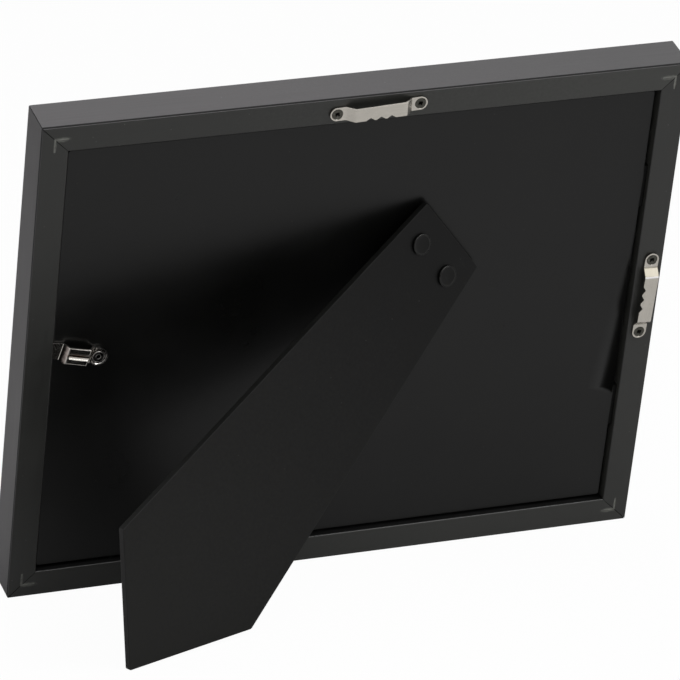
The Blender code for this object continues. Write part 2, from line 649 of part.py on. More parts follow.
def build():
    """Build the whole frame."""
    for item in list(bpy.data.objects):
        bpy.data.objects.remove(item, do_unlink=True)

    film = finish("black_film", (0.052, 0.051, 0.052), 0.45)
    board_black = finish("board_black", (0.020, 0.020, 0.019), 0.55)
    strut_black = finish("strut_black", (0.016, 0.016, 0.016), 0.5)
    black_steel = finish("black_steel", (0.02, 0.02, 0.02), 0.35, metallic=0.6)
    nickel = finish("nickel_steel", (0.60, 0.57, 0.52), 0.3, metallic=1.0)
    nail_steel = finish("nail_steel", (0.25, 0.25, 0.25), 0.45, metallic=1.0)
    clear = finish("clear_glass", (0.9, 0.95, 0.93), 0.02, transmission=1.0)
    paper = finish("plain_paper", (0.8, 0.79, 0.76), 0.8)

    stand = empty("leaning_frame", None, (0, table_shift(), 0), (-lean_angle(), 0, 0))
    rear_view = empty("rear_view", stand, (FRAME_WIDTH / 2, 0, 0), (math.pi / 2, 0, math.pi))

    kerfs = build_nails(rear_view, nail_steel)
    rails = build_rails(rear_view, film, kerfs)
    board = build_panels(rear_view, clear, paper, board_black)
    cut_tab_slots(rails["rail_right"], rear_view)
    build_strut(rear_view, board, strut_black, black_steel)
    build_catch(rear_view, board, rails["rail_left"], nickel)
    rail_middle = RAIL_BACK_WIDTH / 2
    top_place = (FRAME_WIDTH / 2 + HANGER_TOP_RIGHT, FRAME_HEIGHT - rail_middle, 0)
    side_place = (FRAME_WIDTH - rail_middle, FRAME_HEIGHT / 2 + HANGER_SIDE_UP, 0)
    build_hanger("hanger_top", top_place, HANGER_TOP_TURN,
                 ("hanger_top_screw_left", "hanger_top_screw_right"), rails["rail_top"], rear_view,
                 nickel, black_steel)
    build_hanger("hanger_side", side_place, HANGER_SIDE_TURN,
                 ("hanger_side_screw_upper", "hanger_side_screw_lower"), rails["rail_right"], rear_view,
                 nickel, black_steel)


build()
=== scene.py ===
"""Looks of a black desk photo frame that stands on its easel strut, seen from behind.

Pieces are shaped in the rear view or in their own axes, in metres. In the rear view x runs right, y runs up
the frame and z comes out of its back, with zero at the lower left corner of the rails' rear face. Left and
right in the names are as seen from behind.
"""

import json
import logging
import math
from collections.abc import Callable, Iterator, Sequence
from contextlib import contextmanager
from dataclasses import dataclass
from enum import Enum

import bmesh
import bpy
from mathutils import Matrix, Vector


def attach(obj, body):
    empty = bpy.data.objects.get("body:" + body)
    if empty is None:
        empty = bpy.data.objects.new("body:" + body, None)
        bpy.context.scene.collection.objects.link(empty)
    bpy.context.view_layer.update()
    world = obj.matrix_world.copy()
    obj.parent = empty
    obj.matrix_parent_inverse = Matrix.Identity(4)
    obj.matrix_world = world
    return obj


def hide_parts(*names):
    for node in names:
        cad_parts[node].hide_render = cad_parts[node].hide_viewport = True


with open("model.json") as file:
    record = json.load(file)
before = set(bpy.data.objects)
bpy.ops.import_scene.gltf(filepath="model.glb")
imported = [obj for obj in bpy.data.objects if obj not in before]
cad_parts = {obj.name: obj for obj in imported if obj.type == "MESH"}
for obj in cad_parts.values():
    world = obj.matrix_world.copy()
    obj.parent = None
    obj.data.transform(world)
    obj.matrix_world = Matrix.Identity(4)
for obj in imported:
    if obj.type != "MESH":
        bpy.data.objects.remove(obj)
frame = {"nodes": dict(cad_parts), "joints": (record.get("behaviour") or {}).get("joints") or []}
LOG = logging.getLogger("photo_frame")

Point = tuple[float, float, float]
Colour = tuple[float, float, float]
Rings = Sequence[tuple[float, float]]
PlaceTest = Callable[[Vector, Vector], bool]

SIDES = (-1, 1)

# Gaps and lengths: clearance of what is seated, overrun of a cut, and places that count as the same
SEAT_GAP = 0.0003
OVERRUN = 0.002
TOLERANCE = 0.00002

# Shares of a face's normal along an axis: nearly straight along it, facing it, halfway, steep and slight
LEVEL = 0.95
FACING = 0.9
HALFWAY = 0.5
STEEP = 0.3
SLIGHT = 0.1

# Sides of turned pieces, from drills and pins to the pressed trough
DRILL_SIDES = 24
BARREL_SIDES = 32
HEAD_SIDES = 48
DISC_SIDES = 64
TROUGH_SIDES = 72

# Degrees: edges sharper than the first two are shaded sharp, and edges sharper than the others are eased
PLAIN_SHADING = 30.0
TURNED_SHADING = 40.0
BOARD_EASING = 35.0
STEEL_EASING = 50.0


class Body(Enum):
    """Moving bodies that pieces ride on."""

    FRAME = "frame"
    STRUT = "strut"
    CATCH = "catch"


class Cut(Enum):
    """Ways to combine two solids."""

    AWAY = "DIFFERENCE"
    JOIN = "UNION"
    KEEP = "INTERSECT"


class Element(Enum):
    """What an edit works on."""

    POINT = "VERT"
    EDGE = "EDGE"
    FACE = "FACE"


class GrainRun(Enum):
    """Direction of a grain, as the order of the piece's axes with the grain's own first."""

    ALONG_X = "XYZ"
    ALONG_Z = "ZYX"


def shift(x: float, y: float = 0.0, z: float = 0.0) -> Matrix:
    """Make a move without a turn."""
    return Matrix.Translation((x, y, z))


def twist(degrees: float, axis: str = "Z") -> Matrix:
    """Make a turn about one axis."""
    return Matrix.Rotation(math.radians(degrees), 4, axis)


class Bench:
    """Hand tools for shaping one piece at a time."""

    @staticmethod
    def pick(piece: bpy.types.Object) -> None:
        """Select one piece alone and make it active.

        Args:
            piece: The piece to work on.
        """
        bpy.ops.object.select_all(action="DESELECT")
        piece.select_set(True)
        bpy.context.view_layer.objects.active = piece

    @staticmethod
    @contextmanager
    def editing(piece: bpy.types.Object, element: Element) -> Iterator[None]:
        """Work on a piece in edit mode, with nothing selected at first.

        Args:
            piece: The piece to edit.
            element: What the tools in the block select.
        """
        Bench.pick(piece)
        bpy.ops.object.mode_set(mode="EDIT")
        bpy.ops.mesh.select_mode(type=element.value)
        bpy.ops.mesh.select_all(action="DESELECT")
        yield
        bpy.ops.object.mode_set(mode="OBJECT")

    @staticmethod
    def choose(piece: bpy.types.Object, element: Element, test: Callable[..., bool]) -> None:
        """Select points, edges or faces by their places, and nothing else.

        Args:
            piece: The piece in edit mode.
            element: What is selected.
            test: Says of an element's places whether it is wanted.
        """
        bpy.ops.mesh.select_all(action="DESELECT")
        shape = bmesh.from_edit_mesh(piece.data)
        if element is Element.POINT:
            found = [(vert, (vert.co,)) for vert in shape.verts]
        elif element is Element.EDGE:
            found = [(edge, [vert.co for vert in edge.verts]) for edge in shape.edges]
        else:
            found = [(face, (face.calc_center_median(), face.normal)) for face in shape.faces]
        for item, places in found:
            if test(*places):
                item.select_set(True)
        if element is Element.POINT:
            shape.select_flush(True)
        bmesh.update_edit_mesh(piece.data)

    @staticmethod
    def choose_faces(piece: bpy.types.Object, test: PlaceTest) -> None:
        """Select the faces whose middle and normal pass a test."""
        Bench.choose(piece, Element.FACE, test)

    @staticmethod
    def choose_edges(piece: bpy.types.Object, test: PlaceTest) -> None:
        """Select the edges whose two ends pass a test."""
        Bench.choose(piece, Element.EDGE, test)

    @staticmethod
    def choose_points(piece: bpy.types.Object, test: Callable[[Vector], bool]) -> None:
        """Select the points whose place passes a test."""
        Bench.choose(piece, Element.POINT, test)

    @staticmethod
    def choose_all() -> None:
        """Select the whole piece in edit mode."""
        bpy.ops.mesh.select_all(action="SELECT")

    @staticmethod
    def pull(x: float, y: float, z: float) -> None:
        """Extrude the chosen faces by a move."""
        bpy.ops.mesh.extrude_region_move(TRANSFORM_OT_translate={"value": (x, y, z)})

    @staticmethod
    def pull_edges(x: float, z: float) -> None:
        """Extrude the chosen edges by a move along x and z."""
        bpy.ops.mesh.extrude_edges_move(TRANSFORM_OT_translate={"value": (x, 0, z)})

    @staticmethod
    def turn_outwards() -> None:
        """Turn all faces of the piece in edit mode outwards."""
        Bench.choose_all()
        bpy.ops.mesh.normals_make_consistent(inside=False)

    @staticmethod
    def round_edges(width: float, segments: int) -> None:
        """Bevel the chosen edges."""
        bpy.ops.mesh.bevel(offset=width, segments=segments, affect="EDGES")

    @staticmethod
    def block(name: str, low: Sequence[float], high: Sequence[float]) -> bpy.types.Object:
        """Add a block between two corners.

        Args:
            name: The block's name.
            low: Its lowest corner.
            high: Its highest corner.

        Returns:
            The new block.
        """
        low_corner, high_corner = Vector(low), Vector(high)
        bpy.ops.mesh.primitive_cube_add(
            size=1, location=(low_corner + high_corner) / 2, scale=high_corner - low_corner
        )
        piece = bpy.context.active_object
        piece.name = name
        Bench.settle(piece)
        return piece

    @staticmethod
    def turned(
        name: str, rings: Rings, sides: int, place: Matrix | None = None, ring: bool = False
    ) -> bpy.types.Object:
        """Turn a shape about z from rings, each extruded from the one before and scaled.

        Args:
            name: The piece's name.
            rings: Radius and height of each ring, from the first to the last.
            sides: Sides of every ring.
            place: Where the shape is put, or none to leave it.
            ring: Joins the last ring to the first, which leaves a bore, in place of two flat caps.

        Returns:
            The new piece.
        """
        radius, height = rings[0]
        bpy.ops.mesh.primitive_circle_add(vertices=sides, radius=radius, location=(0, 0, height))
        piece = bpy.context.active_object
        piece.name = name
        Bench.settle(piece)
        with Bench.editing(piece, Element.EDGE):
            Bench.choose_all()
            if not ring:
                bpy.ops.mesh.edge_face_add()
                Bench.choose_all()
            for next_radius, next_height in rings[1:]:
                Bench.pull_edges(0, next_height - height)
                share = next_radius / radius
                bpy.ops.transform.resize(value=(share, share, 1), center_override=(0, 0, next_height))
                radius, height = next_radius, next_height
            if ring:
                Bench.choose_edges(piece, Bench.on_rings(rings[0], rings[-1]))
                bpy.ops.mesh.bridge_edge_loops()
            else:
                bpy.ops.mesh.edge_face_add()
            Bench.turn_outwards()
        if place is not None:
            Bench.settle(piece, place)
        return piece

    @staticmethod
    def rod(
        name: str, radius: float, span: tuple[float, float], sides: int = DRILL_SIDES,
        place: Matrix | None = None,
    ) -> bpy.types.Object:
        """Turn a plain rod.

        Args:
            name: The rod's name.
            radius: Its radius.
            span: Heights of its two ends.
            sides: Sides of its section.
            place: Where it is put, or none to leave it.

        Returns:
            The new rod.
        """
        return Bench.turned(name, [(radius, height) for height in span], sides, place)

    @staticmethod
    def on_rings(first: tuple[float, float], last: tuple[float, float]) -> PlaceTest:
        """Make a test for edges that lie along either of two rings.

        Args:
            first: Radius and height of one ring.
            last: Radius and height of the other.

        Returns:
            The test.
        """

        def lies(point: Vector, spot: tuple[float, float]) -> bool:
            """Say whether a point is on a ring."""
            near = abs(point.xy.length - spot[0]) < TOLERANCE
            return near and abs(point.z - spot[1]) < TOLERANCE

        def test(one: Vector, other: Vector) -> bool:
            """Say whether an edge runs along a ring."""
            return any(lies(one, spot) and lies(other, spot) for spot in (first, last))

        return test

    @staticmethod
    def strap(name: str, stations: Rings, width: float, bend: float, thickness: float) -> bpy.types.Object:
        """Bend a metal strap: a plane whose end edge is extruded from station to station.

        Args:
            name: The strap's name.
            stations: Distance along x and height of the underside; the first stretch is flat.
            width: Width along y.
            bend: How far each bend is rounded to both sides.
            thickness: Thickness of the metal, above the underside.

        Returns:
            The new strap.
        """
        (start, level), (end, _) = stations[0], stations[1]
        bpy.ops.mesh.primitive_plane_add(size=1, location=((start + end) / 2, 0, level))
        piece = bpy.context.active_object
        piece.name = name
        piece.scale = (end - start, width, 1)
        Bench.settle(piece)
        with Bench.editing(piece, Element.EDGE):
            Bench.choose_edges(piece, lambda a, b: min(a.x, b.x) > end - TOLERANCE)
            for (x_now, z_now), (x_next, z_next) in zip(stations[1:], stations[2:]):
                Bench.pull_edges(x_next - x_now, z_next - z_now)
            Bench.turn_outwards()
        up = sum(face.normal.z for face in piece.data.polygons)
        Bench.modify(
            piece, "SOLIDIFY", thickness=thickness, offset=math.copysign(1, up), use_even_offset=True
        )
        low, high = start + TOLERANCE, stations[-1][0] - TOLERANCE
        with Bench.editing(piece, Element.EDGE):
            Bench.choose_edges(
                piece, lambda a, b: abs(a.x - b.x) < TOLERANCE < abs(a.y - b.y) and low < a.x < high
            )
            Bench.round_edges(bend, 4)
        return piece

    @staticmethod
    def modify(piece: bpy.types.Object, kind: str, **settings: object) -> None:
        """Add a modifier with its settings and apply it.

        Args:
            piece: The piece to change.
            kind: The modifier's type.
            **settings: Values of the modifier.
        """
        Bench.pick(piece)
        modifier = piece.modifiers.new(kind.title(), kind)
        for name, value in settings.items():
            setattr(modifier, name, value)
        bpy.ops.object.modifier_apply(modifier=modifier.name)

    @staticmethod
    def combine(piece: bpy.types.Object, cut: Cut, *tools: bpy.types.Object) -> None:
        """Combine a piece with tool solids one after the other, which are used up.

        Args:
            piece: The piece to change.
            cut: How the piece is combined with each.
            *tools: The solids that cut or join it.
        """
        for tool in tools:
            Bench.modify(piece, "BOOLEAN", object=tool, operation=cut.value, solver="EXACT")
            bpy.data.objects.remove(tool, do_unlink=True)

    @staticmethod
    def ease(piece: bpy.types.Object, width: float, segments: int = 2, angle: float = BOARD_EASING) -> None:
        """Round all sharp edges of a piece.

        Args:
            piece: The piece to change.
            width: Width of the rounding.
            segments: Faces across it.
            angle: Edges sharper than this many degrees are rounded.
        """
        Bench.modify(
            piece, "BEVEL", width=width, segments=segments, limit_method="ANGLE",
            angle_limit=math.radians(angle), use_clamp_overlap=True, harden_normals=False,
        )

    @staticmethod
    def settle(piece: bpy.types.Object, place: Matrix | None = None) -> None:
        """Move a piece to its place and apply that to its mesh.

        Args:
            piece: The piece to move.
            place: Its place, or none to apply the one that it has.
        """
        Bench.pick(piece)
        if place is not None:
            piece.matrix_world = place
        bpy.ops.object.transform_apply(location=True, rotation=True, scale=True)

    @staticmethod
    def smooth(piece: bpy.types.Object, angle: float) -> None:
        """Shade a piece smooth but for its sharp edges.

        Args:
            piece: The piece to shade.
            angle: Edges sharper than this many degrees stay sharp.
        """
        Bench.pick(piece)
        bpy.ops.object.shade_smooth_by_angle(angle=math.radians(angle))
        Bench.modify(piece, "WEIGHTED_NORMAL", keep_sharp=True, weight=90)

    @staticmethod
    def dress(piece: bpy.types.Object, materials: Sequence[bpy.types.Material]) -> None:
        """Give a piece its materials in place of those that it has.

        Args:
            piece: The piece to dress.
            materials: Its materials, the main one first.
        """
        piece.data.materials.clear()
        for material in materials:
            piece.data.materials.append(material)

    @staticmethod
    def repaint(piece: bpy.types.Object, index: int, test: PlaceTest, view: Matrix | None = None) -> None:
        """Give the faces that pass a test another of the piece's materials.

        Args:
            piece: The piece to repaint.
            index: Number of the material.
            test: Says of a face's middle and normal whether it is wanted.
            view: Turns places of the mesh into those that the test reads.
        """
        space = view or Matrix.Identity(4)
        turn = space.to_3x3()
        for face in piece.data.polygons:
            if test(space @ face.center, turn @ face.normal):
                face.material_index = index


def hand_over(
    piece: bpy.types.Object, body: Body, nodes: Sequence[str], place: Matrix,
    materials: Sequence[bpy.types.Material], repaints: Sequence[tuple[int, PlaceTest]] = (),
    angle: float = PLAIN_SHADING, view: Matrix | None = None,
) -> None:
    """Dress a finished piece, put it in its place, and say what it rides on and stands for.

    Args:
        piece: The finished piece.
        body: The body that it moves with.
        nodes: The plain solids that it stands for.
        place: Matrix from the piece's own axes to the standing frame.
        materials: Its materials, the main one first.
        repaints: Numbers of the other materials, each with a test of the faces that take it.
        angle: Edges sharper than this many degrees stay sharp.
        view: Turns places of the mesh into those that the tests read.
    """
    Bench.dress(piece, materials)
    for index, test in repaints:
        Bench.repaint(piece, index, test, view)
    Bench.smooth(piece, angle)
    Bench.settle(piece, place)
    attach(piece, body.value)
    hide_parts(*nodes)
    LOG.info("%s: %d faces on %s", piece.name, len(piece.data.polygons), body.value)


@dataclass(frozen=True)
class RearView:
    """Where the leaning frame, its hinge and its catch stand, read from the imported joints."""

    board_back: float = -0.0025
    catch_spot: tuple[float, float] = (0.031605, 0.1164)

    @staticmethod
    def joint(name: str) -> dict:
        """Find one packed joint by its name."""
        return next(item for item in frame["joints"] if item["name"] == name)

    def catch(self) -> Matrix:
        """Build the move to the catch's eyelet on the board, in the rear view."""
        return shift(*self.catch_spot, self.board_back)

    def axes(self) -> Matrix:
        """Build the turn from the rear view to the standing frame."""
        out = Vector(self.joint("catch_turn")["axis"]).normalized()
        right = Vector((-1, 0, 0))
        return Matrix((right, out.cross(right), out)).transposed()

    def matrix(self) -> Matrix:
        """Build the matrix from the rear view to the standing frame."""
        turn = self.axes()
        pivot = Vector(self.joint("catch_turn")["pos_m"])
        origin = pivot - turn @ self.catch().to_translation()
        return Matrix.Translation(origin) @ turn.to_4x4()

    def hinge(self) -> Matrix:
        """Build the matrix from the hinge's axes, x along its pin, to the standing frame."""
        fold = self.joint("strut_fold")
        out = self.axes().col[2]
        along = Vector(fold["axis"]).normalized()
        turn = Matrix((along, out.cross(along), out)).transposed()
        return Matrix.Translation(Vector(fold["pos_m"])) @ turn.to_4x4()

    def strut(self) -> Matrix:
        """Build the matrix from the opened strut's axes to the standing frame."""
        return self.hinge() @ twist(-max(self.joint("strut_fold")["range_deg"]), "X")


class Effect(Enum):
    """Surface effects that several finishes share, each a group of shader nodes."""

    GRAIN = "grain_lines"
    MOTTLE = "soft_mottle"
    SPECKS = "fine_specks"
    SCRATCHES = "hairline_scratches"
    RUBBED = "rubbed_patch"


class Graph:
    """Adds and joins nodes in one node tree."""

    def __init__(self, tree: bpy.types.NodeTree) -> None:
        """Start on a tree.

        Args:
            tree: The tree that nodes are added to.
        """
        self.tree = tree

    def node(self, kind: str, values: dict[str, object] | None = None, **settings: object) -> bpy.types.Node:
        """Add a node.

        Args:
            kind: The node's type.
            values: Sockets by name, each with a value or the output that feeds it.
            **settings: Properties of the node.

        Returns:
            The new node.
        """
        added = self.tree.nodes.new(kind)
        for name, value in settings.items():
            setattr(added, name, value)
        for name, value in (values or {}).items():
            self.feed(added.inputs[name], value)
        return added

    def feed(self, socket: bpy.types.NodeSocket, value: object) -> None:
        """Give a socket a value, or link an output to it."""
        if isinstance(value, bpy.types.NodeSocket):
            self.tree.links.new(value, socket)
        else:
            socket.default_value = value

    def math(self, operation: str, first: object, second: object = 0.0) -> bpy.types.NodeSocket:
        """Add a sum of two values and return its output."""
        added = self.node("ShaderNodeMath", operation=operation)
        self.feed(added.inputs[0], first)
        self.feed(added.inputs[1], second)
        return added.outputs[0]

    def vector(self, operation: str, first: object, second: object = (0.0, 0.0, 0.0)) -> bpy.types.Node:
        """Add a sum of two vectors and return its node."""
        added = self.node("ShaderNodeVectorMath", operation=operation)
        self.feed(added.inputs[0], first)
        self.feed(added.inputs[1], second)
        return added

    def noise(
        self, spot: object, scale: object, detail: object, roughness: float = 0.5
    ) -> bpy.types.NodeSocket:
        """Add a noise and return its value."""
        values = {"Vector": spot, "Scale": scale, "Detail": detail, "Roughness": roughness}
        return self.node("ShaderNodeTexNoise", values).outputs["Fac"]

    def spread(
        self, value: object, low: float, high: float, new_low: object = 0.0, new_high: object = 1.0
    ) -> bpy.types.NodeSocket:
        """Map a value from one span to another, held at its ends, and return the output."""
        added = self.node(
            "ShaderNodeMapRange",
            {"Value": value, "From Min": low, "From Max": high, "To Min": new_low, "To Max": new_high},
        )
        return added.outputs["Result"]

    def centred(self, value: object, contrast: object) -> bpy.types.NodeSocket:
        """Stretch a value about a half and return the output."""
        away = self.math("SUBTRACT", value, 0.5)
        return self.math("ADD", self.math("MULTIPLY", away, contrast), 0.5)

    def mix(self, share: object, first: object, second: object) -> bpy.types.NodeSocket:
        """Mix two colours and return the output."""
        added = self.node("ShaderNodeMix", data_type="RGBA")
        self.feed(added.inputs["Factor"], share)
        self.feed(added.inputs[6], first)
        self.feed(added.inputs[7], second)
        return added.outputs[2]


def wide(colour: Colour, strength: float = 1.0) -> tuple[float, float, float, float]:
    """Scale a colour and give it full cover."""
    return (colour[0] * strength, colour[1] * strength, colour[2] * strength, 1.0)


class Effects:
    """Builds each shared effect once."""

    origin: Point = (0.0, 0.0, 0.0)
    speck_edge: float = 8.0
    scratch_runs: tuple[tuple[float, Point], ...] = (
        (0.5, (25.0, 420.0, 420.0)), (-0.9, (18.0, 360.0, 360.0)),
    )
    scratch_tilt: tuple[float, float] = (0.15, 0.4)
    scratch_patch: float = 130.0
    scratch_fade: float = 0.1
    patch_breaking: float = 0.9
    patch_edge: tuple[float, float] = (0.65, 1.5)

    @staticmethod
    def get(effect: Effect) -> bpy.types.NodeTree:
        """Return an effect's group, which is built the first time.

        Args:
            effect: The effect that is wanted.

        Returns:
            The group of shader nodes.
        """
        builders = {
            Effect.GRAIN: Effects.grain,
            Effect.MOTTLE: Effects.mottle,
            Effect.SPECKS: Effects.specks,
            Effect.SCRATCHES: Effects.scratches,
            Effect.RUBBED: Effects.rubbed,
        }
        return bpy.data.node_groups.get(effect.value) or builders[effect]()

    @staticmethod
    def place(graph: Graph, effect: Effect, values: dict[str, object]) -> bpy.types.NodeSocket:
        """Place an effect in a material's graph and return its output."""
        return graph.node("ShaderNodeGroup", values, node_tree=Effects.get(effect)).outputs[0]

    @staticmethod
    def start(
        effect: Effect, inputs: dict[str, float | Point], output: str
    ) -> tuple[Graph, dict[str, bpy.types.NodeSocket], bpy.types.NodeSocket]:
        """Open a group with named sockets.

        Args:
            effect: The effect that the group holds.
            inputs: Names of the inputs besides the place, with their usual values; a triple makes a vector.
            output: Name of the one value that comes out.

        Returns:
            The graph, the inputs by name, and the socket that takes the result.
        """
        tree = bpy.data.node_groups.new(effect.value, "ShaderNodeTree")
        inputs = {"Vector": Effects.origin, **inputs}
        for name, value in inputs.items():
            kind = "NodeSocketVector" if isinstance(value, tuple) else "NodeSocketFloat"
            socket = tree.interface.new_socket(name=name, in_out="INPUT", socket_type=kind)
            socket.default_value = value
        tree.interface.new_socket(name=output, in_out="OUTPUT", socket_type="NodeSocketFloat")
        graph = Graph(tree)
        source = graph.node("NodeGroupInput")
        sink = graph.node("NodeGroupOutput")
        return graph, {name: source.outputs[name] for name in inputs}, sink.inputs[output]

    @staticmethod
    def grain() -> bpy.types.NodeTree:
        """Build long fine lines that run along the first axis of the vector."""
        inputs = {"Length Scale": 20.0, "Across Scale": 1500.0, "Contrast": 1.0}
        graph, given, result = Effects.start(Effect.GRAIN, inputs, "Lines")
        scales = graph.node("ShaderNodeCombineXYZ", {
            "X": given["Length Scale"], "Y": given["Across Scale"], "Z": given["Across Scale"],
        })
        stretched = graph.vector("MULTIPLY", given["Vector"], scales.outputs[0])
        noise = graph.noise(stretched.outputs[0], 1.0, 4.0, 0.6)
        graph.feed(result, graph.centred(noise, given["Contrast"]))
        return graph.tree

    @staticmethod
    def mottle() -> bpy.types.NodeTree:
        """Build soft cloudy variation."""
        inputs = {"Scale": 60.0, "Detail": 3.0, "Contrast": 2.0}
        graph, given, result = Effects.start(Effect.MOTTLE, inputs, "Cloud")
        noise = graph.noise(given["Vector"], given["Scale"], given["Detail"], 0.55)
        graph.feed(result, graph.spread(graph.centred(noise, given["Contrast"]), 0.0, 1.0))
        return graph.tree

    @staticmethod
    def specks() -> bpy.types.NodeTree:
        """Build sparse round specks, such as dust and grit under paint."""
        inputs = {"Scale": 900.0, "Amount": 0.1, "Size": 0.25}
        graph, given, result = Effects.start(Effect.SPECKS, inputs, "Mask")
        cells = graph.node("ShaderNodeTexVoronoi", {
            "Vector": given["Vector"], "Scale": given["Scale"], "Randomness": 1.0,
        })
        parts = graph.node("ShaderNodeSeparateColor", {"Color": cells.outputs["Color"]})
        chosen = graph.math("LESS_THAN", parts.outputs["Red"], given["Amount"])
        edge = graph.math("SUBTRACT", given["Size"], cells.outputs["Distance"])
        held = graph.spread(graph.math("MULTIPLY", edge, Effects.speck_edge), 0.0, 1.0)
        graph.feed(result, graph.math("MULTIPLY", chosen, held))
        return graph.tree

    @staticmethod
    def scratches() -> bpy.types.NodeTree:
        """Build thin broken lines in two directions."""
        inputs = {"Scale": 1.0, "Width": 0.012, "Amount": 0.5}
        graph, given, result = Effects.start(Effect.SCRATCHES, inputs, "Mask")
        runs = []
        for turn, stretch in Effects.scratch_runs:
            tilt = tuple(share * turn for share in (*Effects.scratch_tilt, 1.0))
            turned = graph.node("ShaderNodeMapping", {
                "Vector": given["Vector"], "Rotation": tilt, "Scale": stretch,
            })
            noise = graph.noise(turned.outputs[0], given["Scale"], 1.0)
            away = graph.math("ABSOLUTE", graph.math("SUBTRACT", noise, 0.5))
            near = graph.math("DIVIDE", graph.math("SUBTRACT", given["Width"], away), given["Width"])
            runs.append(graph.spread(near, 0.0, 1.0))
        patch = graph.noise(given["Vector"], Effects.scratch_patch, 2.0)
        limit = graph.math("SUBTRACT", 1.0, given["Amount"])
        shown = graph.spread(graph.math("SUBTRACT", patch, limit), 0.0, Effects.scratch_fade)
        graph.feed(result, graph.math("MULTIPLY", graph.math("MAXIMUM", runs[0], runs[1]), shown))
        return graph.tree

    @staticmethod
    def rubbed() -> bpy.types.NodeTree:
        """Build a soft, broken patch round a place, such as paint rubbed off over a nail, painted light,
        painted shade and painted reflections.
        """
        inputs = {"Centre": Effects.origin, "Half": (0.003, 0.0008, 0.001), "Scale": 700.0}
        graph, given, result = Effects.start(Effect.RUBBED, inputs, "Mask")
        away = graph.vector("SUBTRACT", given["Vector"], given["Centre"])
        share = graph.vector("DIVIDE", away.outputs[0], given["Half"])
        distance = graph.vector("LENGTH", share.outputs[0])
        noise = graph.noise(given["Vector"], given["Scale"], 4.0)
        broken = graph.math("MULTIPLY", noise, Effects.patch_breaking)
        uneven = graph.math("ADD", distance.outputs["Value"], broken)
        graph.feed(result, graph.spread(uneven, *Effects.patch_edge, 1.0, 0.0))
        return graph.tree


def open_material(name: str) -> tuple[bpy.types.Material, Graph, bpy.types.Node]:
    """Add a material and return it with its graph and its main shader."""
    material = bpy.data.materials.new(name)
    material.use_nodes = True
    return material, Graph(material.node_tree), material.node_tree.nodes["Principled BSDF"]


@dataclass(frozen=True)
class Patch:
    """A soft patch of another colour, a real scuff or painted light and shade: its middle and half size in
    the piece's axes.
    """

    middle: Point
    half: Point
    colour: Colour


